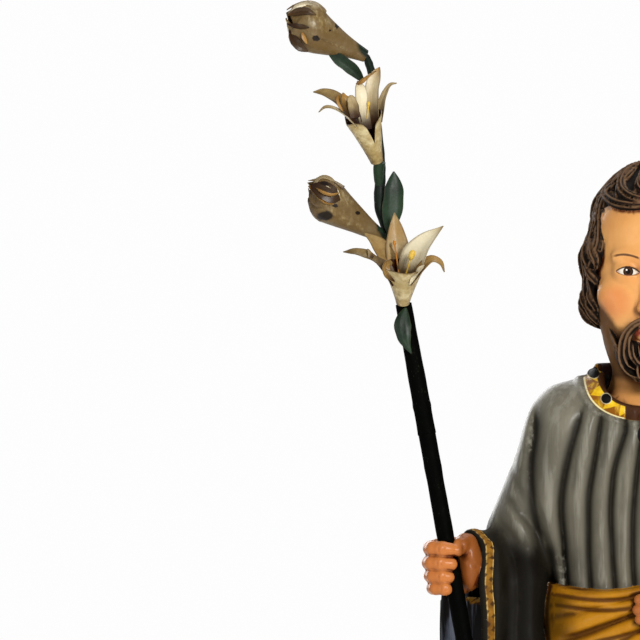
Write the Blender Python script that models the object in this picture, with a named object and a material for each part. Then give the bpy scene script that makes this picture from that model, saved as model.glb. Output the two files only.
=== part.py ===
"""Painted plaster figure of a bearded carpenter saint with a staff of lilies.

Units are millimetres inside the functions and metres in the finished meshes. +Z is up, the figure
faces -Y and its right hand, which holds the staff, is at -X. The origin is on the ground, under the
middle of the base. The casting is described as a field of signed distances: each form is a function
of a point, forms are blended together, and the zero level is skinned with one closed mesh.
"""
import math

import bpy
import bmesh
import numpy as np
from mathutils import Matrix, Vector

# ----------------------------------------------------------------------------- driving dimensions
BASE_HALF_WIDTH = 134.0
BASE_HALF_DEPTH = 112.0
BASE_HEIGHT = 38.0
BASE_STEP = 13.0

CROWN = 905.0            # top of the skull, under the hair
CHIN = 757.0
HAIR_TOP = 917.0
HEAD_AXIS_Y = 0.0
SHOULDER = (48.5, 4.0, 703.0)
SHOULDER_RADIUS = 44.5
RIM_HALF_WIDTH = 50.0    # neck line of the tunic
RIM_SIDE_Z = 751.0
RIM_FRONT_Z = 714.5
ROBE_Z = (20, 45, 100, 200, 320, 430, 520, 590, 650, 700, 722, 740, 752)
ROBE_HALF_WIDTH = (98, 99, 92, 84, 80, 80, 79, 70, 76, 80, 76, 62, 40)
ROBE_HALF_DEPTH = (80, 82, 76, 68, 64, 62, 59, 50, 52, 50, 47, 42, 34)
HEM_Z = 46.0
MANTLE_THICKNESS = 8.5
MANTLE_TOP = 592.0

ELBOW = (-85.0, 12.0)
SLEEVE_DIRECTION = (-0.9, -0.44)
SLEEVE_LENGTH = 65.0
SLEEVE_SLANT = -0.325
SLEEVE_MOUTH_Z = 554.0
SLEEVE_MOUTH_HALF = (26.0, 75.0)
SLEEVE_WALL = 5.0

STAFF_POINT = (-151.6, -26.0, 603.0)
STAFF_SLOPE = (-0.1794, 0.14)      # change of X and Y for each unit of height
STAFF_RADIUS = 6.6
STAFF_BOTTOM = 455.0
STAFF_STEP = 705.5
STAFF_TOP = 806.0
FIST_CLEARANCE = 0.8

GRID = 4.0
STATUE_RATIO = 0.0635

F = np.float32


# ----------------------------------------------------------------------------- fields
def mix(a, b, t):
    return a + (b - a) * t


def smooth(t):
    t = np.clip(t, 0, 1)
    return t * t * (3 - 2 * t)


def smin(a, b, k):
    h = np.clip(0.5 + 0.5 * (b - a) / k, 0, 1)
    return b + (a - b) * h - k * h * (1 - h)


def smax(a, b, k):
    return -smin(-a, -b, k)


def egg(p, c, r, turn=None):
    q = [p[i] - c[i] for i in range(3)]
    if turn is not None:
        q = [turn[i][0] * q[0] + turn[i][1] * q[1] + turn[i][2] * q[2] for i in range(3)]
    a = np.sqrt((q[0] / r[0]) ** 2 + (q[1] / r[1]) ** 2 + (q[2] / r[2]) ** 2)
    b = np.sqrt((q[0] / r[0] ** 2) ** 2 + (q[1] / r[1] ** 2) ** 2 + (q[2] / r[2] ** 2) ** 2)
    return a * (a - 1) / np.maximum(b, 1e-6)


def rod(p, a, b, ra, rb=None):
    rb = ra if rb is None else rb
    d = [float(b[i]) - float(a[i]) for i in range(3)]
    n = d[0] ** 2 + d[1] ** 2 + d[2] ** 2 or 1e-9
    t = np.clip(((p[0] - a[0]) * d[0] + (p[1] - a[1]) * d[1] + (p[2] - a[2]) * d[2]) / n, 0, 1)
    q = [p[i] - a[i] - t * d[i] for i in range(3)]
    return np.sqrt(q[0] ** 2 + q[1] ** 2 + q[2] ** 2) - mix(ra, rb, t)


def chain(p, points, radii, k):
    out = None
    for i in range(len(points) - 1):
        d = rod(p, points[i], points[i + 1], radii[i], radii[i + 1])
        out = d if out is None else smin(out, d, k)
    return out


def column(p, half_width, half_depth, power=2.4, cx=0.0, cy=0.0):
    """Upright superellipse whose half axes are arrays or numbers."""
    x, y = np.abs(p[0] - cx) + 1e-3, np.abs(p[1] - cy) + 1e-3
    ax, ay = (x / half_width) ** power, (y / half_depth) ** power
    n = (ax + ay) ** (1 / power)
    g = n ** (1 - power)
    gx, gy = ax / x * g, ay / y * g
    return (n - 1) / np.sqrt(gx * gx + gy * gy)


def valleys(z, table):
    """Positions of fold valleys at height z, from a list of (heights, positions)."""
    return [np.interp(z, h, v).astype(F) for h, v in table]


def ridges(u, lines, power=2.4):
    """0 in a valley and 1 on the crest between two valleys."""
    f = np.zeros_like(u)
    for a, b in zip(lines[:-1], lines[1:]):
        t = (u - a) / np.maximum(b - a, 1e-3)
        f = np.where((t >= 0) & (t < 1), 1 - np.abs(2 * t - 1) ** power, f)
    return f


# ----------------------------------------------------------------------------- tunic
PLEATS_RIGHT = [
    ((585, 609, 655, 685, 704), (-73, -79.3, -89.3, -90.1, -87)),
    ((590, 609, 648, 671, 701, 729), (-61.6, -63.1, -67.8, -65.5, -58.5, -49.3)),
    ((590, 609, 661, 682, 700, 717), (-44.7, -46.2, -46.2, -42.4, -39.3, -37)),
    ((592, 609, 648, 679, 696, 709), (-26.2, -27.7, -30, -27.7, -22.3, -17.7)),
    ((594, 609, 648, 679, 702), (-11.6, -13.1, -12.3, -9.2, -6.2)),
]
PLEATS_LEFT = [(h, tuple(-v * s for v in row)) for s, (h, row) in
               zip((0.45, 0.86, 0.98, 1.02, 1.0), reversed(PLEATS_RIGHT))]
PLEATS = PLEATS_RIGHT + PLEATS_LEFT
PLEAT_DEPTH = 4.6


def chest_folds(p):
    fade = smooth((742 - p[2]) / 40) * smooth((96 - np.abs(p[0])) / 12) * smooth((6 - p[1]) / 26)
    return (ridges(p[0], valleys(p[2], PLEATS)) - 0.75) * PLEAT_DEPTH * fade


def skirt_folds(p, count=11, depth=6.0):
    a = np.arctan2(p[0] / 90, -p[1] / 72)
    t = a * count / math.pi + 0.55 * np.sin(2 * a + 0.6) + 0.35 * np.sin(3 * a + p[2] / 95 + 1.0)
    f = t - np.floor(t)
    lift = 0.75 + 0.25 * np.sin(2.4 * np.floor(t) + 0.7)
    return (1 - np.abs(2 * f - 1) ** 2.2 - 0.55) * depth * lift


def tunic(p):
    x, y, z = p
    w = np.interp(z, ROBE_Z, ROBE_HALF_WIDTH).astype(F)
    d = np.interp(z, ROBE_Z, ROBE_HALF_DEPTH).astype(F)
    torso = column(p, w, d)
    low = smooth((470 - z) / 120)
    torso = torso - skirt_folds(p) * low * (0.45 + 0.55 * smooth((330 - z) / 250))
    torso = smin(torso, egg(p, (36, -46, 300), (27, 24, 70)), 22)
    torso = smax(torso, z - 756, 8)
    torso = smax(torso, HEM_Z - 3 * np.cos(x / 30) - z, 3)
    sx, sy, sz = SHOULDER
    for s in (-1, 1):
        arm = smin(rod(p, (s * 24, 7, 718), (s * sx, sy, sz), 30, SHOULDER_RADIUS),
                   rod(p, (s * sx, sy, sz), (s * 88, 10, 625), SHOULDER_RADIUS, 35), 10)
        torso = smin(torso, arm, 12)
    back = smooth((y - 4) / 30) * smooth((700 - z) / 60) * smooth((z - 560) / 30)
    torso = torso - chest_folds(p) - back * 2.5 * np.cos(x / 6.4)
    return torso


def sleeve_frame(p, elbow, direction):
    s = (p[0] - elbow[0]) * direction[0] + (p[1] - elbow[1]) * direction[1]
    side = (-direction[1], direction[0]) if elbow[0] < 0 else (direction[1], -direction[0])
    return s, (p[0] - elbow[0]) * side[0] + (p[1] - elbow[1]) * side[1]


def bell(p, elbow, direction, length, slant, mouth_z, mouth_half, elbow_z):
    """Wide hanging sleeve: an ellipse that grows and sinks from the elbow to its mouth."""
    s, l = sleeve_frame(p, elbow, direction)
    z = p[2]
    t = smooth((s + 8) / (length + 8))
    cz, hz, hl = mix(elbow_z, mouth_z, t), mix(36, mouth_half[1], t), mix(33, mouth_half[0], t)
    a, b = np.abs(l) + 1e-3, np.abs(z - cz) + 1e-3
    n = np.sqrt((a / hl) ** 2 + (b / hz) ** 2)
    g = np.sqrt((a / hl ** 2) ** 2 + (b / hz ** 2) ** 2) / np.maximum(n, 1e-3)
    outer = (n - 1) / np.maximum(g, 1e-3)
    drape = 2.2 * np.sin(l / 4.4 + s / 16) * smooth(s / 40) + 2.0 * np.sin((z + 1.3 * s) / 10) * smooth((z - 560) / 60)
    outer = outer - drape
    mouth = s - (length + slant * l)
    deep = np.where(z > 580, 42.0, 20.0)
    solid = smax(smax(outer, mouth, 2.5), -26 - s, 12)
    hollow = smax(outer + SLEEVE_WALL, -(mouth + deep), 6)
    return solid, hollow


def right_sleeve(p):
    return bell(p, ELBOW, SLEEVE_DIRECTION, SLEEVE_LENGTH, SLEEVE_SLANT, SLEEVE_MOUTH_Z, SLEEVE_MOUTH_HALF, 622)


LEFT_ELBOW = (92.0, 2.0)
LEFT_DIRECTION = (-0.516, -0.856)


def left_sleeve(p):
    return bell(p, LEFT_ELBOW, LEFT_DIRECTION, 62, 0.2, 540, (24, 62), 612)


# ----------------------------------------------------------------------------- mantle
def mantle(p):
    x, y, z = p
    w = np.interp(z, ROBE_Z, ROBE_HALF_WIDTH).astype(F)
    d = np.interp(z, ROBE_Z, ROBE_HALF_DEPTH).astype(F)
    roll = 5.0 * np.exp(-((z - 578) / 26) ** 2)
    a = np.arctan2(x / 90, -y / 72)
    # folds fan out from the gather at the left hand
    gx, gz = 66.0, 612.0
    u, v = gx - x, gz - z
    fan = np.arctan2(v, np.maximum(u, 1.0))
    run = np.sqrt(u * u + v * v)
    front = smooth((24 - y) / 30)
    t = fan * 7.2 + run / 210
    f = t - np.floor(t)
    sweep = (1 - np.abs(2 * f - 1) ** 2.2 - 0.55) * (2.0 + 5.0 * smooth((run - 30) / 160))
    hang = skirt_folds(p, 8, 5.5) * smooth((z - 60) / 60)
    body = column(p, w + MANTLE_THICKNESS + roll, d + MANTLE_THICKNESS + roll) - mix(hang, sweep, front)
    top = z - (MANTLE_TOP - 4 * np.clip(-x / 76, -1, 1) + 3 * np.sin(x / 19))
    hem = (215 + 65 * np.sin(a * 0.9 + 0.35) - 22 * np.cos(a)) - z
    shell = smax(smax(body, top, 6), hem, 5)
    # cascade under the left hand
    fall = chain(p, [(34, -62, 570), (38, -70, 470), (42, -74, 350), (46, -78, 250)], [15, 17, 21, 23], 8)
    fall = fall - 3.2 * np.sin((x + 0.25 * z) / 5.2) * smooth((560 - z) / 60)
    fall = smax(fall, 262 + 0.9 * (x - 40) - z, 4)
    return smin(shell, fall, 8)


# ----------------------------------------------------------------------------- head
def head(p):
    x, y, z = p
    q = (np.abs(x), y, z)
    skull = egg(p, (0, 12, 850), (42, 60, 55))
    face = egg(p, (0, -14, 818), (38, 38, 60))
    d = smin(skull, face, 14)
    d = smin(d, egg(p, (0, -34, 776), (20, 20, 19)), 14)                     # chin
    d = smin(d, egg(q, (26, -8, 790), (14, 26, 22)), 12)                     # jaw
    d = smax(d, -egg(q, (18.5, -54, 831), (11, 9, 8)), 7)                    # eye sockets
    d = smin(d, egg(q, (17, -45.5, 831.5), (10, 8, 7)), 3)                   # eyeballs and lids
    d = smin(d, rod(q, (7, -47, 843), (26, -42, 841), 3.4, 2.5), 6)          # brows
    nose = smin(rod(p, (0, -50, 838), (0, -62, 806), 3.6, 5.4), egg(q, (6, -56, 804), (4.6, 6.5, 5)), 4)
    d = smin(d, nose, 5)
    d = smin(d, egg(q, (24, -36, 808), (14, 12, 12)), 10)                    # cheeks
    d = smin(d, rod(p, (-9, -50, 786), (9, -50, 786), 4.6), 5)               # mouth
    d = smin(d, rod(p, (0, 12, 690), (0, 10, 786), 40, 26), 16)              # neck
    return d


HAIR_THICKNESS = 10.5


def hair(p):
    x, y, z = p
    q = (np.abs(x), y, z)
    shell = smin(egg(p, (0, 12, 850), (40.5, 58, 56)), egg(p, (0, 14, 822), (41, 50, 40)), 14)
    a = np.arctan2(x, -(y - 12))
    waves = 2.2 * np.sin(13 * a + 1.6 * np.sin(z / 12)) * smooth((900 - z) / 30) + 1.6 * np.sin(z / 6.5 + 3 * a)
    edge_y = -24 + 14 * smooth((860 - z) / 70)
    opening = smax(y - edge_y, z - (881 - 0.011 * x * x), 8)
    d = shell - mix(-9, HAIR_THICKNESS, smooth((opening + 7) / 10)) - waves * smooth(opening / 10)
    side = smin(egg(q, (41, 6, 836), (12, 27, 19)), egg(q, (42, 8, 807), (12, 25, 19)), 4)
    nape = egg(p, (0, 44, 797), (40, 26, 40))
    d = smin(smin(d, side, 5), nape, 12)
    return smax(d, 772 - z, 8)


def beard(p):
    x, y, z = p
    q = (np.abs(x), y, z)
    d = smin(egg(p, (0, -42, 768), (19, 20, 26)), egg(q, (24, -22, 778), (17, 26, 22)), 12)
    d = smin(d, rod(q, (4, -58, 795), (17, -50, 780), 5.2, 4.8), 4)
    d = smin(d, rod(q, (17, -50, 780), (17, -46, 760), 4.8, 4.2), 4)
    return d - 1.1 * np.sin(x / 2.6 + z / 9)


# ----------------------------------------------------------------------------- hands and feet
def staff_at(z):
    t = z - STAFF_POINT[2]
    return STAFF_POINT[0] + STAFF_SLOPE[0] * t, STAFF_POINT[1] + STAFF_SLOPE[1] * t


FINGER_Z = (618.2, 607.2, 597.0, 587.6)
FINGER_RADIUS = (5.7, 5.3, 5.0, 4.7)
FINGER_LEFT = (-167.2, -168.5, -167.3, -165.5)


def right_hand(p):
    out = None
    for z, r, left in zip(FINGER_Z, FINGER_RADIUS, FINGER_LEFT):
        sx, sy = staff_at(z)
        pts = [(sx + 6, sy + 13, z + 1), (sx - 8, sy + 14, z), (left, sy + 4, z), (left + 2, sy - 8, z),
               (sx - 8, sy - 12.5, z), (sx - 1.5, sy - 12, z)]
        d = chain(p, pts, [r + 1.5, r + 1, r, r, r, r * 0.92], 2.0)
        out = d if out is None else smin(out, d, 1.2)
    palm = smin(egg(p, (-146, -10, 604), (17, 9, 21)), egg(p, (-135.5, -20, 606), (8.5, 13, 21)), 6)
    thumb = chain(p, [(-134, -17, 617), (-141, -27, 622), (-147, -34, 621)], [9, 7.6, 6.4], 3)
    wrist = rod(p, (-96, 4, 606), (-138, -12, 604), 19, 15.5)
    return smin(smin(smin(out, palm, 3), thumb, 3), wrist, 8)


def left_hand(p):
    out = None
    for (a, b, c), r in zip((((22, -74, 587), (4, -77, 584), (-8.5, -71, 581)), ((24, -77, 577), (4, -79, 575), (-10, -72, 573.3)),
                             ((24, -77, 568), (4, -78, 567), (-8.5, -72, 566)), ((24, -74, 560), (6, -76, 559.5), (-3, -71, 559))),
                            (4.7, 4.5, 4.2, 3.9)):
        d = chain(p, [a, b, c], [r + 0.8, r + 0.2, r - 0.3], 2)
        out = d if out is None else smin(out, d, 1.2)
    palm = egg(p, (30, -72, 575), (16, 9, 19))
    thumb = chain(p, [(34, -72, 590), (20, -76, 598), (8, -72, 599)], [7, 6, 5], 3)
    wrist = rod(p, (32, -72, 576), (66, -44, 590), 14, 18)
    return smin(smin(smin(out, palm, 4), thumb, 3), wrist, 8)


def feet(p):
    x, y, z = p
    q = (np.abs(x), y, z)
    d = smin(egg(q, (31, -66, 47), (18, 34, 16)), egg(q, (31, -88, 44), (17, 14, 9)), 8)
    for i in range(5):
        d = smin(d, egg(q, (20.5 + 5.6 * i, -100 + 1.5 * i * i * 0.8, 42.5), (3.6 - 0.2 * i, 7, 4.8)), 2)
    return d


def base(p):
    x, y, z = np.abs(p[0]), np.abs(p[1]), p[2]
    inset = 7 * smooth((z - BASE_STEP) / 3) + 0.10 * np.clip(z - BASE_STEP, 0, 40)
    w, d = BASE_HALF_WIDTH - inset, BASE_HALF_DEPTH - inset
    edge = smax(smax(x - w, y - d, 3), (x + y) * 0.7071 - (w + d) * 0.585, 3)
    return smax(smax(edge, z - BASE_HEIGHT, 4), -z, 1.5)


# ----------------------------------------------------------------------------- whole casting
def casting(p):
    x, y, z = p
    d = np.full_like(x, 60.0)

    def join(form, k, lo, hi):
        m = np.flatnonzero((x > lo[0]) & (x < hi[0]) & (y > lo[1]) & (y < hi[1]) & (z > lo[2]) & (z < hi[2]))
        if len(m):
            d[m] = smin(d[m], form((x[m], y[m], z[m])), k)

    join(tunic, 0.5, (-170, -140, 0), (170, 140, 800))
    join(mantle, 1.5, (-150, -150, 60), (150, 150, 640))
    solid_lo, solid_hi = (-210, -110, 420), (0, 90, 720)
    m = np.flatnonzero((x > solid_lo[0]) & (x < -20) & (y > -110) & (y < 100) & (z > 420) & (z < 720))
    if len(m):
        q = (x[m], y[m], z[m])
        solid, hollow = right_sleeve(q)
        d[m] = smax(smin(d[m], solid, 6), -smax(hollow, q[0] + 92, 3), 2)
    m = np.flatnonzero((x > 10) & (x < 190) & (y > -150) & (y < 100) & (z > 420) & (z < 720))
    if len(m):
        q = (x[m], y[m], z[m])
        solid, hollow = left_sleeve(q)
        d[m] = smin(d[m], smax(solid, -hollow, 2), 4)
    join(head, 3, (-90, -110, 640), (90, 120, 960))
    join(hair, 1.5, (-100, -100, 720), (100, 130, 980))
    join(beard, 1.5, (-80, -110, 700), (80, 60, 830))
    join(right_hand, 2, (-230, -90, 530), (-40, 60, 680))
    join(left_hand, 2, (-60, -130, 510), (130, 20, 650))
    join(feet, 2, (-100, -160, 0), (100, 0, 110))
    join(base, 3, (-190, -170, -40), (190, 170, 80))
    m = np.flatnonzero((x < -100) & (x > -200) & (z > 540) & (z < 660))
    if len(m):
        sx, sy = staff_at(z[m])
        bore = np.sqrt((x[m] - sx) ** 2 + (y[m] - sy) ** 2) - (STAFF_RADIUS + FIST_CLEARANCE)
        d[m] = smax(d[m], -bore, 0.8)
    return d


# ----------------------------------------------------------------------------- skinning the field
EDGES = ((0, 1), (0, 2), (0, 4), (1, 3), (1, 5), (2, 3), (2, 6), (3, 7), (4, 5), (4, 6), (5, 7), (6, 7))
CORNERS = [(i & 1, (i >> 1) & 1, (i >> 2) & 1) for i in range(8)]


def split_cells():
    """Corner patterns in which the inside or the outside corners are in more than one group."""
    link = {i: [b if a == i else a for a, b in EDGES if i in (a, b)] for i in range(8)}
    bad = np.zeros(256, bool)
    for code in range(256):
        for want in (0, 1):
            group = [i for i in range(8) if ((code >> i) & 1) == want]
            if not group:
                continue
            seen, todo = {group[0]}, [group[0]]
            while todo:
                for j in link[todo.pop()]:
                    if j in group and j not in seen:
                        seen.add(j)
                        todo.append(j)
            bad[code] |= len(seen) < len(group)
    return bad


def sample(field, lo, hi, h, block=8):
    """The field on a grid; blocks that the surface can't reach get a plain sign."""
    lo = np.array(lo, float)
    count = [int(math.ceil((hi[i] - lo[i]) / (h * block))) for i in range(3)]
    mid = np.meshgrid(*[lo[i] + (np.arange(count[i]) + 0.5) * h * block for i in range(3)], indexing="ij")
    far = field(tuple(a.ravel().astype(F) for a in mid)).reshape(count)
    grid = np.where(far > 0, F(9), F(-9))
    for axis in range(3):
        grid = np.repeat(grid, block, axis)
    grid = np.pad(grid, ((0, 1), (0, 1), (0, 1)), mode="edge").astype(F)
    k = np.arange(block + 1)
    todo = np.argwhere(np.abs(far) < 1.7 * h * block)
    for start in range(0, len(todo), 500):
        corner = todo[start:start + 500] * block
        zero = np.zeros((len(corner),) + (block + 1,) * 3, int)
        i = (corner[:, 0, None, None, None] + k[None, :, None, None] + zero).ravel()
        j = (corner[:, 1, None, None, None] + k[None, None, :, None] + zero).ravel()
        m = (corner[:, 2, None, None, None] + k[None, None, None, :] + zero).ravel()
        grid[i, j, m] = field(((lo[0] + i * h).astype(F), (lo[1] + j * h).astype(F), (lo[2] + m * h).astype(F)))
    for axis in range(3):
        face = [slice(None)] * 3
        for end in (0, -1):
            face[axis] = end
            grid[tuple(face)] = np.maximum(grid[tuple(face)], h)
    return grid, lo


def skin(grid, lo, h):
    """One closed mesh of four-sided faces around the inside of the grid."""
    grid = np.where(np.abs(grid) < 1e-4 * h, F(1e-4 * h), grid)
    inside = grid < 0
    cells = [n - 1 for n in grid.shape]
    bad = split_cells()
    while True:
        code = np.zeros(cells, np.uint8)
        for i, (a, b, c) in enumerate(CORNERS):
            code |= inside[a:a + cells[0], b:b + cells[1], c:c + cells[2]].astype(np.uint8) << i
        mend = np.argwhere(bad[code])
        if not len(mend):
            break
        # the outside corner that is nearest to the surface goes inside
        corner = mend[:, None, :] + np.array(CORNERS)[None]
        value = grid[corner[..., 0], corner[..., 1], corner[..., 2]]
        pick = corner[np.arange(len(mend)), np.where(value > 0, value, 1e9).argmin(1)]
        grid[tuple(pick.T)] = -0.02 * h
        inside[tuple(pick.T)] = True
    used = np.argwhere((code > 0) & (code < 255))
    index = np.full(cells, -1, np.int32)
    index[tuple(used.T)] = np.arange(len(used))
    total, times = np.zeros((len(used), 3)), np.zeros(len(used))
    for a, b in EDGES:
        ca, cb = np.array(CORNERS[a]), np.array(CORNERS[b])
        va, vb = grid[tuple((used + ca).T)], grid[tuple((used + cb).T)]
        cross = (va < 0) != (vb < 0)
        t = np.where(cross, va / np.where(cross, va - vb, 1), 0)
        total[cross] += (ca + (cb - ca) * t[:, None])[cross]
        times[cross] += 1
    points = (used + total / times[:, None]) * h + lo
    faces = []
    for axis in range(3):
        u, w = (axis + 1) % 3, (axis + 2) % 3
        first, second = [slice(None)] * 3, [slice(None)] * 3
        first[axis], second[axis] = slice(0, -1), slice(1, None)
        for q in (u, w):
            first[q] = second[q] = slice(1, -1)
        a, b = inside[tuple(first)], inside[tuple(second)]
        for flip, where in ((False, a & ~b), (True, ~a & b)):
            edge = np.argwhere(where)
            if not len(edge):
                continue
            edge[:, u] += 1
            edge[:, w] += 1
            ring = []
            for du, dw in ((0, 0), (-1, 0), (-1, -1), (0, -1)):
                c = edge.copy()
                c[:, u] += du
                c[:, w] += dw
                ring.append(index[tuple(c.T)])
            quad = np.stack(ring, 1)
            faces.append(quad[:, ::-1] if flip else quad)
    return whole_shell(points, np.concatenate(faces))


def whole_shell(points, faces):
    """The one outer shell: small closed bubbles are left out."""
    tag = np.arange(len(points))
    while True:
        low = tag[faces].min(1)
        new = tag.copy()
        np.minimum.at(new, faces.ravel(), np.repeat(low, faces.shape[1]))
        new = new[new]
        if (new == tag).all():
            break
        tag = new
    names, sizes = np.unique(tag, return_counts=True)
    keep = tag == names[np.argmax(sizes)]
    order = np.cumsum(keep) - 1
    return points[keep], order[faces[keep[faces[:, 0]]]]


# ----------------------------------------------------------------------------- scene helpers
def clear_scene():
    for ob in list(bpy.data.objects):
        bpy.data.objects.remove(ob, do_unlink=True)


def material(name, colour, roughness, metallic=0.0):
    mat = bpy.data.materials.new(name)
    mat.use_nodes = True
    node = mat.node_tree.nodes["Principled BSDF"]
    node.inputs["Base Color"].default_value = (*colour, 1)
    node.inputs["Roughness"].default_value = roughness
    node.inputs["Metallic"].default_value = metallic
    mat.diffuse_color = (*colour, 1)
    return mat


def link(name, mesh, mat):
    mesh.materials.append(mat)
    ob = bpy.data.objects.new(name, mesh)
    bpy.context.scene.collection.objects.link(ob)
    return ob


def mesh_of(name, points, faces):
    mesh = bpy.data.meshes.new(name)
    mesh.from_pydata([tuple(float(c) * 0.001 for c in v) for v in points], [], [tuple(int(i) for i in f) for f in faces])
    mesh.update()
    return mesh


def keep_inside(mesh):
    """Turn the faces outward."""
    bm = bmesh.new()
    bm.from_mesh(mesh)
    bmesh.ops.recalc_face_normals(bm, faces=bm.faces)
    bm.to_mesh(mesh)
    bm.free()


# ----------------------------------------------------------------------------- staff and stem
def tube(name, stations, sides, mat):
    """Closed round bar through (point, radius) stations in mm."""
    pts = [Vector(s[0]) for s in stations]
    rows, up = [], Vector((0, 1, 0))
    for i, (c, r) in enumerate(stations):
        t = (pts[min(i + 1, len(pts) - 1)] - pts[max(i - 1, 0)]).normalized()
        u = (up - t * up.dot(t)).normalized()
        v = t.cross(u)
        rows.append([pts[i] + (u * math.cos(2 * math.pi * k / sides) + v * math.sin(2 * math.pi * k / sides)) * r
                     for k in range(sides)])
    verts = [p for row in rows for p in row]
    faces = [(i * sides + k, i * sides + (k + 1) % sides, (i + 1) * sides + (k + 1) % sides, (i + 1) * sides + k)
             for i in range(len(rows) - 1) for k in range(sides)]
    faces.append(tuple(reversed(range(sides))))
    faces.append(tuple((len(rows) - 1) * sides + k for k in range(sides)))
    mesh = mesh_of(name, verts, faces)
    keep_inside(mesh)
    ob = link(name, mesh, mat)
    mesh.shade_smooth()
    mesh.set_sharp_from_angle(angle=math.radians(40))
    return ob


def ring_point(centre, axis_u, axis_v, radius, angle):
    return centre + (axis_u * math.cos(angle) + axis_v * math.sin(angle)) * radius


def flower(name, base, throat, radius, petals, mat, rows=5, half_columns=1, thickness=1.3):
    """Sheet metal flower: a cone from its base to the throat that splits into pointed petals.

    Each petal is (width, bend, tip): the half width, a point that its middle line leans to, and its tip.
    """
    base, throat = Vector(base), Vector(throat)
    axis = (throat - base).normalized()
    side = Vector((0, 1, 0)).cross(axis).normalized()
    fore = axis.cross(side).normalized()
    count, columns = len(petals), 2 * half_columns
    around = count * columns
    verts = [base - axis * 2.0]
    faces = []
    cone = ((0.0, 0.33), (0.45, 0.55), (0.8, 0.8), (1.0, 1.0))
    for t, grow in cone:
        centre = base.lerp(throat, t)
        verts += [ring_point(centre, side, fore, radius * grow, 2 * math.pi * (k - half_columns) / around)
                  for k in range(around)]
    faces += [(0, 1 + (k + 1) % around, 1 + k) for k in range(around)]
    for r in range(len(cone) - 1):
        o = 1 + r * around
        faces += [(o + k, o + (k + 1) % around, o + around + (k + 1) % around, o + around + k) for k in range(around)]
    rim = 1 + (len(cone) - 1) * around
    for j, (width, bend, tip) in enumerate(petals):
        angle = 2 * math.pi * j / count
        out = (side * math.cos(angle) + fore * math.sin(angle)).normalized()
        across = (fore * math.cos(angle) - side * math.sin(angle)).normalized()
        start, bend, tip = ring_point(throat, side, fore, radius, angle), Vector(bend), Vector(tip)
        near = start + axis * radius * 0.7
        last = [rim + (j * columns + k) % around for k in range(columns + 1)]
        chord = radius * math.sin(math.pi / count)
        for i in range(1, rows):
            t = i / rows
            mid = start * (1 - t) ** 3 + near * 3 * t * (1 - t) ** 2 + bend * 3 * t * t * (1 - t) + tip * t ** 3
            half = mix(chord, width, math.sin(min(t / 0.42, 1) * math.pi / 2)) * (1 - max(0, (t - 0.42) / 0.58) ** 1.7)
            row = []
            for k in range(columns + 1):
                u = k / half_columns - 1
                row.append(len(verts))
                verts.append(mid + across * half * u - out * half * 0.35 * (u * u - 0.3))
            faces += [(last[k], last[k + 1], row[k + 1], row[k]) for k in range(columns)]
            last = row
        verts.append(tip)
        faces += [(last[k], last[k + 1], len(verts) - 1) for k in range(columns)]
    mesh = mesh_of(name, verts, faces)
    ob = link(name, mesh, mat)
    mesh.shade_smooth()
    wall = ob.modifiers.new("wall", "SOLIDIFY")
    wall.thickness = thickness * 0.001
    wall.offset = 0
    return ob


def leaf(name, spine, half_width, facing, mat, rows=7, thickness=1.1):
    """Pointed leaf along a curve of three points, folded a little along its middle."""
    a, b, c = (Vector(v) for v in spine)
    facing = Vector(facing).normalized()
    verts, faces, last = [a], [], None
    for i in range(1, rows):
        t = i / rows
        mid = a * (1 - t) ** 2 + b * 2 * t * (1 - t) + c * t * t
        along = ((b - a) * (1 - t) + (c - b) * t).normalized()
        across = along.cross(facing).normalized()
        half = half_width * math.sin(math.pi * t ** 0.8) ** 0.8
        row = [len(verts) + k for k in range(3)]
        verts += [mid - across * half + facing * half * 0.25, mid, mid + across * half + facing * half * 0.25]
        faces += [(0, row[1], row[0]), (0, row[2], row[1])] if last is None else \
            [(last[k], last[k + 1], row[k + 1], row[k]) for k in range(2)]
        last = row
    verts.append(c)
    faces += [(last[0], last[1], len(verts) - 1), (last[1], last[2], len(verts) - 1)]
    mesh = mesh_of(name, verts, faces)
    keep_inside(mesh)
    ob = link(name, mesh, mat)
    mesh.shade_smooth()
    wall = ob.modifiers.new("wall", "SOLIDIFY")
    wall.thickness = thickness * 0.001
    wall.offset = 0
    return ob


def on_staff(z):
    x, y = staff_at(z)
    return (x, y, z)


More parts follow.
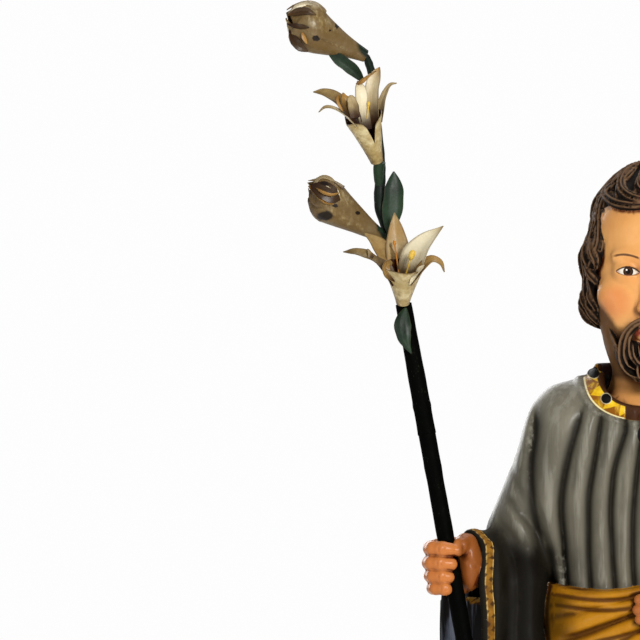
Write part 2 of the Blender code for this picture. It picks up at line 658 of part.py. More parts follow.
def main():
    clear_scene()
    plaster = material("painted_plaster", (0.23, 0.22, 0.20), 0.45)
    cream = material("cream_enamel", (0.72, 0.62, 0.42), 0.35)
    green = material("green_enamel", (0.03, 0.10, 0.05), 0.35)
    black = material("black_paint", (0.02, 0.025, 0.022), 0.4)

    grid, lo = sample(casting, (-216, -152, -12), (188, 136, 936), GRID)
    points, quads = skin(grid, lo, GRID)
    statue = link("statue", mesh_of("statue", points, quads), plaster)
    even = statue.modifiers.new("even", "SMOOTH")
    even.factor = 0.5
    even.iterations = 2
    thin = statue.modifiers.new("thin", "DECIMATE")
    thin.ratio = STATUE_RATIO
    thin.use_collapse_triangulate = True

    bore = tube("fist_bore", [(on_staff(z), STAFF_RADIUS + 0.55) for z in (520.0, 690.0)], 16, plaster)
    bore.hide_render = True
    bore.display_type = "WIRE"
    cut = statue.modifiers.new("bore", "BOOLEAN")
    cut.operation = "DIFFERENCE"
    cut.object = bore

    tube("staff_rod", [(on_staff(z), r) for z, r in ((STAFF_BOTTOM, STAFF_RADIUS - 1), (STAFF_BOTTOM + 1.5, STAFF_RADIUS),
         (STAFF_STEP, STAFF_RADIUS), (STAFF_STEP + 0.6, STAFF_RADIUS - 0.9), (STAFF_TOP, STAFF_RADIUS - 1.4))], 16, black)

    stem = [(on_staff(STAFF_TOP + 0.6), 4.2), (on_staff(STAFF_TOP + 4), 4.0), ((-190.6, 8.0, 820), 3.5), ((-195.0, 14.5, 838), 3.3), ((-200.0, 15.5, 860), 3.2),
            ((-203.5, 15, 885), 3.1), ((-206.2, 14, 909), 3.0), ((-209.0, 14, 930), 2.9), ((-211.8, 14, 960), 2.8),
            ((-213.4, 12, 985), 2.7), ((-215.6, 8.5, 994), 2.7)]
    tube("lily_stem", stem, 10, green)

    flower("lily_open_lower", (-188.7, -8.2, 807), (-192.5, -27, 828), 12.0, [
        (11.0, (-170, -32, 852), (-157.9, -26, 865)),         # right, large
        (9.5, (-195, -14, 852), (-195.2, -2, 876.5)),         # upright, at the back
        (7.0, (-212, -26, 850), (-234.9, -24, 848.4)),        # left, long
        (7.0, (-201, -50, 834), (-203.3, -49, 821)),          # front left, short
        (7.5, (-172, -50, 842), (-157.1, -44, 833.8)),        # right, curled down
    ], cream)
    flower("lily_open_upper", (-207.3, 6.0, 915), (-218.5, -15, 941), 11.0, [
        (9.0, (-200, -18, 972), (-193.3, -22, 976.6)),
        (9.0, (-210, -8, 972), (-207.1, -3, 988.9)),
        (7.0, (-226, -6, 968), (-225.6, -4, 979)),
        (7.5, (-240, -14, 962), (-258, -10, 969.7)),
        (7.0, (-238, -30, 950), (-253.3, -32, 953.9)),
        (8.0, (-226, -40, 958), (-235.6, -42, 967.7)),
    ], cream)
    flower("lily_bud_lower", (-203.0, 6.5, 852), (-228, -4, 869), 11.5, [
        (8.5, (-240, -6, 894), (-250, -8, 904)),
        (8.5, (-240, 8, 890), (-261, 8, 897)),
        (8.5, (-246, 12, 876), (-264, 10, 888)),
        (8.5, (-250, 6, 866), (-262, 0, 877)),
        (8.5, (-250, -12, 866), (-262, -14, 873)),
        (8.5, (-246, -20, 880), (-260, -17, 893)),
    ], cream)
    flower("lily_bud_top", (-219.5, 5.5, 997.6), (-244, -3, 1010), 11.5, [
        (8.5, (-256, -6, 1034), (-268, -8, 1040)),
        (8.5, (-258, 8, 1030), (-277, 8, 1034)),
        (8.5, (-262, 12, 1018), (-280, 8, 1026)),
        (8.5, (-264, 6, 1004), (-279, 0, 1016)),
        (8.5, (-264, -12, 1004), (-272, -14, 1008)),
        (8.5, (-262, -20, 1018), (-277, -15, 1028)),
    ], cream)
    leaf("leaf_lower", ((-186.6, -5.4, 801), (-189.2, -12.5, 782), (-182.3, -10.5, 768)), 6.4, (0, -1, 0.1), green)
    leaf("leaf_middle", ((-196.5, 9.8, 861), (-190, 9.4, 886), (-195.2, 9.0, 908)), 7.6, (0.2, -1, 0), green)
    leaf("leaf_top", ((-219.5, 3.5, 985), (-232, 0, 989), (-247, -2, 997)), 4.6, (0.35, 0.5, -1), green)


main()
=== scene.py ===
"""Painted plaster figure of a bearded carpenter saint, with a staff of sheet metal lilies: its finished surfaces.

The figure's forms are fields of distance in millimetres, skinned at a fine step, thinned where they are
plain, and joined into one closed mesh. +Z is up, the figure faces -Y, and the staff is at -X.
"""
import math

import bpy
import numpy as np
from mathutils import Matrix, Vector


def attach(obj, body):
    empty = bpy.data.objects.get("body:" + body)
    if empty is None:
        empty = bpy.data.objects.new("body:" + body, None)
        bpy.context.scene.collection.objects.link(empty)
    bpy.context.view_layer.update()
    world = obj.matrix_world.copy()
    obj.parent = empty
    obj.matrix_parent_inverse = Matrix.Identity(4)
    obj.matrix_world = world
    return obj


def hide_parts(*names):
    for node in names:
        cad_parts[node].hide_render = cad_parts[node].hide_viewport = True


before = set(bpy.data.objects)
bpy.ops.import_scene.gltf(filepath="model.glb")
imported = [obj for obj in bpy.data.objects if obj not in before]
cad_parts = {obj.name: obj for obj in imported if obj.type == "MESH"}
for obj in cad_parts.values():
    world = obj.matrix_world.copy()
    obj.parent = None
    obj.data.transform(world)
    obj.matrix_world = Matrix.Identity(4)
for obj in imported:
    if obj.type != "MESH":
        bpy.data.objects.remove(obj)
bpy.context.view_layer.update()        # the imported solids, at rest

COARSE = 1.0        # trial runs use wider steps

F = np.float32


# ============================================================================= fields
def mix(a, b, t):
    return a + (b - a) * t


def smooth(t):
    t = np.clip(t, 0, 1)
    return t * t * (3 - 2 * t)


def smin(a, b, k):
    h = np.clip(0.5 + 0.5 * (b - a) / k, 0, 1)
    return b + (a - b) * h - k * h * (1 - h)


def smax(a, b, k):
    return -smin(-a, -b, k)


def ball(p, c, r):
    return np.sqrt((p[0] - c[0]) ** 2 + (p[1] - c[1]) ** 2 + (p[2] - c[2]) ** 2) - r


def egg(p, c, r, turn=None):
    q = [p[i] - c[i] for i in range(3)]
    if turn is not None:
        q = [turn[i][0] * q[0] + turn[i][1] * q[1] + turn[i][2] * q[2] for i in range(3)]
    a = np.sqrt((q[0] / r[0]) ** 2 + (q[1] / r[1]) ** 2 + (q[2] / r[2]) ** 2)
    b = np.sqrt((q[0] / r[0] ** 2) ** 2 + (q[1] / r[1] ** 2) ** 2 + (q[2] / r[2] ** 2) ** 2)
    return a * (a - 1) / np.maximum(b, 1e-6)


def rod(p, a, b, ra, rb=None):
    rb = ra if rb is None else rb
    d = [float(b[i]) - float(a[i]) for i in range(3)]
    n = d[0] ** 2 + d[1] ** 2 + d[2] ** 2 or 1e-9
    t = np.clip(((p[0] - a[0]) * d[0] + (p[1] - a[1]) * d[1] + (p[2] - a[2]) * d[2]) / n, 0, 1)
    q = [p[i] - a[i] - t * d[i] for i in range(3)]
    return np.sqrt(q[0] ** 2 + q[1] ** 2 + q[2] ** 2) - mix(ra, rb, t)


def chain(p, points, radii, k):
    out = None
    for i in range(len(points) - 1):
        d = rod(p, points[i], points[i + 1], radii[i], radii[i + 1])
        out = d if out is None else smin(out, d, k)
    return out


def column(p, half_width, half_depth, power=2.4, cx=0.0, cy=0.0):
    """Upright superellipse whose half axes are arrays or numbers."""
    x, y = np.abs(p[0] - cx) + 1e-3, np.abs(p[1] - cy) + 1e-3
    ax, ay = (x / half_width) ** power, (y / half_depth) ** power
    n = (ax + ay) ** (1 / power)
    g = n ** (1 - power)
    gx, gy = ax / x * g, ay / y * g
    return (n - 1) / np.sqrt(gx * gx + gy * gy)


def valleys(z, table):
    """Positions of fold valleys at height z, from a list of (heights, positions)."""
    return [np.interp(z, h, v).astype(F) for h, v in table]


def ridges(u, lines, power=2.4):
    """0 in a valley and 1 on the crest between two valleys."""
    f = np.zeros_like(u)
    for a, b in zip(lines[:-1], lines[1:]):
        t = (u - a) / np.maximum(b - a, 1e-3)
        f = np.where((t >= 0) & (t < 1), 1 - np.abs(2 * t - 1) ** power, f)
    return f


def stroke(a, b, points, width):
    """1 along a line through (a, b) points and 0 away from it; it fades at both ends."""
    best = np.zeros_like(a)
    n = len(points) - 1
    for i, ((a0, b0), (a1, b1)) in enumerate(zip(points[:-1], points[1:])):
        da, db = a1 - a0, b1 - b0
        t = np.clip(((a - a0) * da + (b - b0) * db) / (da * da + db * db), 0, 1)
        d2 = (a - a0 - t * da) ** 2 + (b - b0 - t * db) ** 2
        run = (i + t) / n
        best = np.maximum(best, np.exp(-d2 / width ** 2) * np.minimum(1, 4 * run + 0.15) * np.minimum(1, 4 * (1 - run) + 0.15))
    return best


# ============================================================================= tunic
SHOULDER = (48.5, 4.0, 703.0)
SHOULDER_RADIUS = 44.5
ROBE_Z = (20, 45, 100, 200, 320, 430, 520, 590, 650, 700, 722, 740, 752)
ROBE_HALF_WIDTH = (98, 99, 92, 84, 80, 80, 79, 70, 76, 80, 76, 62, 40)
ROBE_HALF_DEPTH = (80, 82, 76, 68, 64, 62, 59, 50, 52, 50, 47, 42, 34)
HEM_Z = 46.0
MANTLE_THICKNESS = 8.5
MANTLE_TOP = 592.0

PLEATS_RIGHT = [
    ((600, 640, 660, 690, 712), (-108, -120, -117, -109, -102)),
    ((585, 609, 655, 685, 704), (-73, -79.3, -89.3, -90.1, -87)),
    ((590, 609, 648, 671, 701, 729), (-61.6, -63.1, -67.8, -65.5, -58.5, -49.3)),
    ((590, 609, 661, 682, 700, 717), (-44.7, -46.2, -46.2, -42.4, -39.3, -37)),
    ((592, 609, 648, 679, 696, 709), (-26.2, -27.7, -30, -27.7, -22.3, -17.7)),
    ((594, 609, 648, 679, 702), (-11.6, -13.1, -12.3, -9.2, -6.2)),
]
def eased(table):
    """The same line with its corners rounded."""
    h = np.linspace(table[0][0], table[0][-1], 41)
    v = np.pad(np.interp(h, *table), 6, mode="reflect", reflect_type="odd")
    bell_curve = np.exp(-(np.arange(-6, 7) / 3.2) ** 2)
    return tuple(h), tuple(np.convolve(v, bell_curve / bell_curve.sum(), "valid"))


PLEATS_RIGHT = [eased(table) for table in PLEATS_RIGHT]
PLEATS_LEFT = [(h, tuple(-v * s for v in row)) for s, (h, row) in
               zip((0.45, 0.86, 0.98, 1.02, 1.0, 1.0), reversed(PLEATS_RIGHT))]
PLEATS = PLEATS_RIGHT + PLEATS_LEFT
SLEEVE_FOLDS = [
    ((548, 589, 614, 628), (-116, -114, -114.5, -119)),
    ((560, 575, 604, 625), (-101, -100, -101.5, -106)),
    ((548, 567, 597, 619), (-80, -81.6, -81, -86)),
]


SECOND_GROOVES = (((-33.9, 718), (-37.5, 676), 1.6), ((-56, 707), (-59.5, 655), 1.2), ((36, 712), (40, 672), 1.4), ((58, 700), (62, 650), 1.2),
                  ((-20.5, 690), (-22.5, 640), 0.8), ((21, 690), (23, 645), 0.8))
CREASES = (          # (line of (|x|, z), depth, width); above zero is a groove
    ([(110, 660), (98, 644), (84, 628), (74, 606)], 2.6, 3.6), ([(112, 652), (101, 637), (88, 620)], -1.6, 3.4),
    ([(116, 642), (104, 627), (93, 608)], 1.8, 3.2), ([(104, 690), (101, 668), (95, 650)], 1.3, 2.6),
    ([(99, 660), (88, 636), (80, 612), (77, 592)], 5.0, 4.4), ([(90, 668), (82, 640), (75, 610)], 2.4, 3.2),
)


def chest_fade(p):
    return smooth((744 - p[2]) / 34) * smooth((122 - np.abs(p[0])) / 12) * smooth((4 - p[1]) / 22) * smooth((p[2] - 560) / 30)


def chest_phase(p):
    """0 in the valleys of the chest and 1 on the crests."""
    return ridges(p[0], valleys(p[2], PLEATS), 1.9)


def chest_folds(p):
    wide = smooth((np.abs(p[0]) - 64) / 20)
    f = (chest_phase(p) - 0.72) * mix(6.6, 5.2, wide)
    # a narrow second groove beside three of the valleys
    for a, b, depth in SECOND_GROOVES:
        f = f - depth * stroke(p[0], p[2], [a, ((a[0] + b[0]) / 2 + 1, (a[1] + b[1]) / 2), b], 1.8)
    return f * chest_fade(p)


def elbow_creases(p):
    """Creases that run from the front of the armpit down round the elbow."""
    q = np.abs(p[0])
    f = 0
    for line, depth, width in CREASES:
        f = f - depth * stroke(q, p[2], line, width)
    return f * smooth((20 - p[1]) / 24)


def skirt_phase(p, count):
    a = np.arctan2(p[0] / 90, -p[1] / 72)
    t = a * count / math.pi + 0.55 * np.sin(2 * a + 0.6) + 0.35 * np.sin(3 * a + p[2] / 95 + 1.0)
    return t, 1 - np.abs(2 * (t - np.floor(t)) - 1) ** 2.0


def skirt_folds(p, count=11, depth=6.0):
    t, phase = skirt_phase(p, count)
    lift = 0.75 + 0.25 * np.sin(2.4 * np.floor(t) + 0.7)
    return (phase - 0.55) * depth * lift


def neck_line(x, y, z):
    """Across the neck band in mm: 0 on its outer edge, below zero towards the neck."""
    front = ((np.abs(x / 53) ** 2.4 + np.abs(np.maximum(751 - z, 0) / 36.5) ** 2.4 + 1e-6) ** (1 / 2.4) - 1) * 36
    back = 752 - z
    return mix(front, np.maximum(front, back), smooth((y - 2) / 12)).astype(F)


def neck_hole(x, y, z):
    """Across the inner edge of the neck band: below zero inside the neck opening."""
    front = ((np.abs(x / 37) ** 2.4 + np.abs(np.maximum(757 - z, 0) / 29) ** 2.4 + 1e-6) ** (1 / 2.4) - 1) * 29
    radial = np.sqrt((x / 1.0) ** 2 + ((y - 10) * 1.0) ** 2) - 36
    return mix(front, radial, smooth((y + 16) / 14)).astype(F)


BEADS = [(32.9, 734.0, 4.1), (41.6, 753.5, 4.6)]


def collar(d, p):
    """Neck band: a lowered yellow facing between a cord and the neck opening, with its beads."""
    x, y, z = p
    line = neck_line(x, y, z)
    near = smooth((z - 700) / 12)
    d = d + 1.4 * smooth((-line - 0.5) / 1.8) * near
    cord = np.sqrt(line ** 2 + (d - 0.2) ** 2) - 2.1
    cord = np.where(z > 704, cord, 20)
    d = smin(d, cord, 0.6)
    fine = np.sqrt((line + 3.4) ** 2 + (d - 0.1) ** 2) - 0.9
    d = smin(d, np.where((z > 704) & (y < 16), fine, 20), 0.5)
    q = np.abs(x)
    for bx, bz, r in BEADS:
        d = smin(d, np.where(y < 12, np.sqrt((q - bx) ** 2 + (z - bz) ** 2 + (d * 1.25 - 0.3) ** 2) - r, 20), 0.5)
    boss = np.sqrt(x ** 2 + (z - 706.5) ** 2 + (d * 2.2) ** 2) - 9.6
    d = smin(d, np.where(y < 0, boss, 20), 0.6)
    return d


def tunic(p):
    x, y, z = p
    w = np.interp(z, ROBE_Z, ROBE_HALF_WIDTH).astype(F)
    d = np.interp(z, ROBE_Z, ROBE_HALF_DEPTH).astype(F)
    torso = column(p, w, d)
    low = smooth((470 - z) / 120)
    torso = torso - skirt_folds(p) * low * (0.45 + 0.55 * smooth((330 - z) / 250))
    torso = smin(torso, egg(p, (36, -46, 300), (27, 24, 70)), 22)
    torso = smax(torso, z - 756, 8)
    torso = smax(torso, HEM_Z - 3 * np.cos(x / 30) - z, 3)
    sx, sy, sz = SHOULDER
    for s in (-1, 1):
        arm = smin(rod(p, (s * 24, 7, 718), (s * sx, sy, sz), 30, SHOULDER_RADIUS),
                   rod(p, (s * sx, sy, sz), (s * 88, 10, 625), SHOULDER_RADIUS, 36), 10)
        torso = smin(torso, arm, 12)
    back = smooth((y - 4) / 30) * smooth((700 - z) / 60) * smooth((z - 560) / 30)
    torso = torso - chest_folds(p) - elbow_creases(p) - back * 2.5 * np.cos(x / 6.4)
    torso = collar(torso, p)
    hole = neck_hole(x, y, z)
    torso = np.where(z > 690, smax(torso, -hole * 0.8, 1.2), torso)
    # standing collar behind the neck
    stand = smax(smax(np.abs(np.sqrt(x * x + (y - 8) ** 2) - 37.5) - 3.0, z - 760, 2.0), 4 - y, 3)
    return smin(torso, np.where(z > 720, stand, 30), 1.5)


ELBOW = (-85.0, 12.0)
SLEEVE_DIRECTION = (-0.9, -0.44)
SLEEVE_LENGTH = 65.0
SLEEVE_SLANT = -0.325
LEFT_ELBOW = (92.0, 2.0)
LEFT_DIRECTION = (-0.516, -0.856)
BRAID = (2.2, 8.4)           # from the mouth of a sleeve to the two edges of its braid


def sleeve_frame(p, elbow, direction):
    s = (p[0] - elbow[0]) * direction[0] + (p[1] - elbow[1]) * direction[1]
    side = (-direction[1], direction[0]) if elbow[0] < 0 else (direction[1], -direction[0])
    return s, (p[0] - elbow[0]) * side[0] + (p[1] - elbow[1]) * side[1]


def braid_relief(across, run, width):
    """Twisted braid: across is 0 to 1 over its width, run is the length along it in mm."""
    inside = smooth(across * 7) * smooth((1 - across) * 7)
    twist = np.abs(np.sin(math.pi * (run / 8.5 + 0.55 * across)))
    cross = np.abs(np.sin(math.pi * (run / 8.5 - 0.75 * across + 0.3)))
    return inside * (0.55 + 0.55 * np.maximum(twist, cross) ** 1.5)


def bell(p, elbow, direction, length, slant, mouth_z, mouth_half, elbow_z, right):
    """Wide hanging sleeve: (solid, hollow, distance behind the mouth, length round the mouth)."""
    s, l = sleeve_frame(p, elbow, direction)
    z = p[2]
    t = smooth((s + 8) / (length + 8))
    cz, hz, hl = mix(elbow_z, mouth_z, t), mix(36, mouth_half[1], t), mix(33, mouth_half[0], t)
    if right:
        cz = cz - 7.5 * np.sin(math.pi * t)
    a, b = np.abs(l) + 1e-3, np.abs(z - cz) + 1e-3
    n = np.sqrt((a / hl) ** 2 + (b / hz) ** 2)
    g = np.sqrt((a / hl ** 2) ** 2 + (b / hz ** 2) ** 2) / np.maximum(n, 1e-3)
    outer = (n - 1) / np.maximum(g, 1e-3)
    drape = 2.2 * np.sin(l / 4.4 + s / 16) * smooth(s / 40) + 2.0 * np.sin((z + 1.3 * s) / 10) * smooth((z - 560) / 60)
    if right:
        front = smooth((l - 2) / 12)
        fold = (ridges(p[0], valleys(z, SLEEVE_FOLDS), 1.8) - 0.6) * 4.6 * smooth((632 - z) / 22)
        drape = mix(drape, fold, front)
    outer = outer - drape
    behind = length + slant * l - s
    if right:
        behind = behind - 9.0 * smooth((z - 586) / 42)
    run = np.arctan2(l / hl, (z - cz) / hz) * 56
    band = (behind - BRAID[0]) / (BRAID[1] - BRAID[0])
    outer = outer - 0.8 * braid_relief(band, run, 6.2)
    rim = np.exp(-((behind - 0.8) / 1.0) ** 2) * 0.4
    outer = outer - rim
    deep = np.where(z > 580, 42.0, 20.0)
    solid = smax(smax(outer, -behind, 1.6), -26 - s, 12)
    hollow = smax(outer + 5.0, behind - deep, 5)
    return solid, hollow, behind, run, outer


def right_sleeve(p):
    return bell(p, ELBOW, SLEEVE_DIRECTION, SLEEVE_LENGTH, SLEEVE_SLANT, 554.0, (26.0, 75.0), 622, True)


def left_sleeve(p):
    return bell(p, LEFT_ELBOW, LEFT_DIRECTION, 62, 0.2, 540, (24, 62), 612, False)


def sleeve_fall(p):
    """Where the right sleeve hangs down beside the hip and covers the side of the mantle."""
    d = chain(p, [(-94, -4, 616), (-95, -17, 590), (-96, -20, 545), (-98, -18, 505)], [20, 18.5, 17.5, 13], 6)
    fold = (ridges(p[0], valleys(p[2], SLEEVE_FOLDS), 1.8) - 0.6) * 4.6
    return d - fold * smooth((632 - p[2]) / 22) * smooth((-p[1]) / 14)


# ============================================================================= mantle
def mantle(p):
    x, y, z = p
    w = np.interp(z, ROBE_Z, ROBE_HALF_WIDTH).astype(F)
    d = np.interp(z, ROBE_Z, ROBE_HALF_DEPTH).astype(F)
    roll = 5.0 * np.exp(-((z - 578) / 26) ** 2)
    w = w - 5.0 * smooth((-x - 46) / 18) * smooth((z - 500) / 30)
    a = np.arctan2(x / 90, -y / 72)
    gx, gz = 66.0, 612.0
    u, v = gx - x, gz - z
    fan = np.arctan2(v, np.maximum(u, 1.0))
    run = np.sqrt(u * u + v * v)
    front = smooth((24 - y) / 30)
    t = fan * 7.2 + run / 210
    sweep = (1 - np.abs(2 * (t - np.floor(t)) - 1) ** 2.0 - 0.55) * (2.0 + 5.4 * smooth((run - 30) / 160))
    hang = skirt_folds(p, 8, 5.5) * smooth((z - 60) / 60)
    body = column(p, w + MANTLE_THICKNESS + roll, d + MANTLE_THICKNESS + roll) - mix(hang, sweep * (1 - smooth((-60 - x) / 14) * smooth((z - 530) / 16)), front)
    top = z - (MANTLE_TOP - 4 * np.clip(-x / 76, -1, 1) + 3 * np.sin(x / 19))
    # folds that lie close together under the top edge
    level = -top
    tight = 1.5 * np.sin(level / 1.25 - 0.9) * smooth(level / 2) * smooth((21 - level) / 8) * smooth((x + 74) / 10)
    creases = (stroke(x, z, [(-72, 549), (-56, 553), (-37, 560), (-6, 571), (20, 580)], 2.4) * 3.2
               + stroke(x, z, [(-56, 545), (-30, 551), (-6, 557), (22, 566)], 2.0) * 2.2)
    body = body - (tight - creases * smooth((x + 76) / 12)) * front
    hem = (215 + 65 * np.sin(a * 0.9 + 0.35) - 22 * np.cos(a)) - z
    shell = smax(smax(body, top, 2.5), hem, 3)
    fall = chain(p, [(34, -62, 570), (38, -70, 470), (42, -74, 350), (46, -78, 250)], [15, 17, 21, 23], 8)
    fall = fall - 3.2 * np.sin((x + 0.25 * z) / 5.2) * smooth((560 - z) / 60)
    fall = smax(fall, 262 + 0.9 * (x - 40) - z, 4)
    return smin(shell, fall, 8)


def mantle_hem(x, y, z):
    """Height over the mantle's lower edge in mm."""
    a = np.arctan2(x / 90, -y / 72)
    return z - (215 + 65 * np.sin(a * 0.9 + 0.35) - 22 * np.cos(a))




def mantle_phase(p):
    """0 in the valleys of the mantle and 1 on its crests."""
    x, y, z = p
    front = smooth((24 - y) / 30)
    u, v = 66.0 - x, 612.0 - z
    fan, run = np.arctan2(v, np.maximum(u, 1.0)), np.sqrt(u * u + v * v)
    t = fan * 7.2 + run / 210
    sweep = mix(1.0, 1 - np.abs(2 * (t - np.floor(t)) - 1) ** 2.0, smooth((run - 20) / 80))
    level = MANTLE_TOP - 4 * np.clip(-x / 76, -1, 1) + 3 * np.sin(x / 19) - z
    tight = 0.5 + 0.5 * np.sin(level / 1.25 - 0.9)
    upper = smooth(level / 2) * smooth((21 - level) / 6)
    crease = (stroke(x, z, [(-72, 549), (-56, 553), (-37, 560), (-6, 571), (20, 580)], 3.0)
              + stroke(x, z, [(-56, 545), (-30, 551), (-6, 557), (22, 566)], 2.4))
    here = np.minimum(mix(sweep, tight, upper), 1 - np.clip(crease, 0, 1))
    return mix(skirt_phase(p, 8)[1], here, front)


def tunic_phase(p):
    x, y, z = p
    chest = mix(1.0, chest_phase(p), chest_fade(p))
    crease = 0
    for line, depth, width in CREASES:
        if depth > 0:
            crease = np.maximum(crease, stroke(np.abs(x), z, line, width * 1.15) * min(0.55, depth / 5.0))
    for a, b, depth in SECOND_GROOVES:
        crease = np.maximum(crease, 0.35 * stroke(x, z, [a, ((a[0] + b[0]) / 2 + 1, (a[1] + b[1]) / 2), b], 2.0))
    crease = crease * smooth((20 - y) / 24)
    low = smooth((470 - z) / 120)
    skirt = mix(1.0, skirt_phase(p, 11)[1], low)
    sleeve = mix(1.0, ridges(x, valleys(z, SLEEVE_FOLDS), 1.8), smooth((632 - z) / 22) * smooth((-60 - x) / 20) * smooth((z - 470) / 20))
    return np.minimum(np.minimum(chest, skirt), np.minimum(1 - crease, sleeve))
# ============================================================================= head
EYE = (16.6, -38.7, 831.2)
EYE_RADIUS = 10.2


def lid_opening(q, z):
    """Almond between the lids, in mm: below zero inside."""
    u = (q - 16.6) / 8.9
    t = 1 - np.minimum(np.abs(u), 1.4) ** 2.1
    return np.maximum(z - (831.6 + 3.5 * t + 0.4 * u), (831.0 - 2.4 * t + 0.4 * u) - z)


def face(p):
    x, y, z = p
    q = (np.abs(x), y, z)
    d = smin(egg(p, (0, 12, 850), (41.0, 60, 54)), egg(p, (0, -7, 863), (37, 42, 35)), 10)
    d = smin(d, egg(p, (0, -13, 816), (38.5, 37, 58)), 12)
    d = smin(d, egg(q, (19, -12, 790), (14.0, 28, 26)), 12)                  # jaw
    d = smin(d, egg(p, (0, -33, 771), (20, 20, 15)), 10)                     # chin
    d = smin(d, egg(q, (26, -32, 813), (13, 13.5, 12)), 9)                   # cheekbone
    d = smin(d, egg(q, (18, -38, 801), (11, 9, 12)), 9)
    d = smin(d, rod(q, (5, -46.8, 843.5), (26, -42.5, 843.5), 4.4, 3.2), 8)  # brow ridge
    d = smax(d, -egg(q, (17.5, -57.2, 832.5), (12.5, 11.0, 7.6)), 6)         # eye socket
    d = smax(d, -egg(q, (35, -50, 858), (7, 9, 18)), 9)                      # temple
    nose = smin(rod(p, (0, -47.8, 840), (0, -59.3, 810.5), 3.0, 4.3), rod(p, (0, -43, 842), (0, -52, 806), 4.6, 8.2), 5)
    nose = smin(nose, ball(p, (0, -60.6, 806.6), 4.9), 3)
    nose = smin(nose, egg(q, (6.3, -54.8, 803.8), (3.7, 6.2, 4.1)), 2.2)
    nose = smin(nose, rod(p, (0, -57, 801), (0, -52, 798), 2.4, 3), 2.0)
    d = smin(d, nose, 3.2)
    d = smin(d, egg(p, (0, -45.5, 787.5), (15.5, 9, 12)), 8)                 # round of the mouth
    lips = smin(chain(q, [(0, -54.9, 788.0), (3.4, -55.3, 788.9), (8.5, -52.6, 787.4), (13.2, -48.2, 785.6)], [1.9, 2.3, 1.9, 0.8], 1.5),
                chain(q, [(0, -54.8, 782.2), (5.6, -53.9, 782.4), (12.4, -48.4, 784.9)], [2.9, 2.6, 0.9], 1.5), 0.6)
    d = smin(d, lips, 1.8)
    d = smax(d, -chain(q, [(0, -58.5, 785.5), (6.6, -56.8, 785.5), (13, -50.4, 785.3)], [1.3, 1.2, 0.6], 1), 1.0)
    d = smax(d, -egg(q, (3.4, -57.8, 799.8), (1.7, 3.0, 1.9)), 1.2)          # nostrils
    # eyes: a ball under two lids
    eye = ball(q, EYE, EYE_RADIUS)
    lids = smax(ball(q, EYE, EYE_RADIUS + 1.5), np.abs(z - 831.4) - 9.5, 3)
    lids = smin(lids, chain(q, [(7.6, -47.8, 830.4), (10.6, -49.6, 833.0), (16.6, -50.6, 835.1), (22.6, -48.5, 834.0), (26.0, -45.0, 831.3)],
                            [0.5, 0.8, 0.9, 0.8, 0.5], 1), 0.8)
    d = smin(d, lids, 2.6)
    d = smax(d, -chain(q, [(8.4, -49.8, 836.0), (12, -51.2, 838.2), (17, -51.4, 839.0), (23, -49.2, 837.6), (27.5, -45.2, 834.4)],
                       [0.5, 0.8, 0.9, 0.8, 0.4], 1), 1.4)
    opening = lid_opening(q[0], z)
    d = np.where(y < -38, smax(d, -smax(opening, y + 40, 0.5), 0.5), d)
    d = np.minimum(d, smin(eye, egg(q, (8.3, -45.4, 830.6), (1.7, 2, 1.5)), 0.8))
    neck = smin(rod(p, (0, 14, 700), (0, 11, 784), 29, 25), rod(q, (13, -18, 726), (24, 4, 778), 6, 5), 12)
    neck = smax(neck, -egg(p, (0, -31, 728), (6, 7, 7)), 6)
    d = smin(d, neck, 12)
    d = smin(d, egg(p, (0, 4, 721), (47, 40, 18)), 16)                       # root of the neck, inside the collar
    return d


HAIR_Z = (780, 786, 791, 796, 803, 810, 817, 822, 832, 842, 850, 857, 865, 876, 888, 898, 906, 912, 916)
HAIR_A = (28, 34, 41, 44, 46.5, 48.0, 45.5, 44.5, 47.5, 47.5, 45.5, 42.5, 40.5, 38.0, 33.0, 25.5, 18.0, 10.0, 4)
HAIR_B = (38, 42, 46, 50, 53, 55, 56, 57, 60, 62, 62.5, 62.5, 62, 60, 55, 47, 37, 25, 12)


def scalp(a, z, lift=0.0):
    """Point that the hair locks lie on; a is the bearing in degrees, 0 at the front."""
    ha, hb = np.interp(z, HAIR_Z, HAIR_A) + lift, np.interp(z, HAIR_Z, HAIR_B) + lift
    r = math.radians(a)
    return (ha * math.sin(r), 12 - hb * math.cos(r), z + 0.12 * lift)


def scalp_x(x, z, lift=0.0):
    ha, hb = np.interp(z, HAIR_Z, HAIR_A), np.interp(z, HAIR_Z, HAIR_B)
    t = max(-1.0, min(1.0, x / ha))
    return (t * (ha + lift), 12 - (hb + lift) * math.sqrt(max(0.0, 1 - t * t)), z)


def spline(points, per=5):
    """Smooth curve through points."""
    p = [np.array(v, float) for v in points]
    p = [2 * p[0] - p[1]] + p + [2 * p[-1] - p[-2]]
    out = []
    for i in range(1, len(p) - 2):
        for k in range(per):
            t = k / per
            out.append(0.5 * (2 * p[i] + (p[i + 1] - p[i - 1]) * t + (2 * p[i - 1] - 5 * p[i] + 4 * p[i + 1] - p[i + 2]) * t * t
                              + (3 * p[i] - p[i - 1] - 3 * p[i + 1] + p[i + 2]) * t ** 3))
    out.append(p[-2])
    return np.array(out)


STRANDS = []       # centre line, side and half width of each lock, and its number of strands


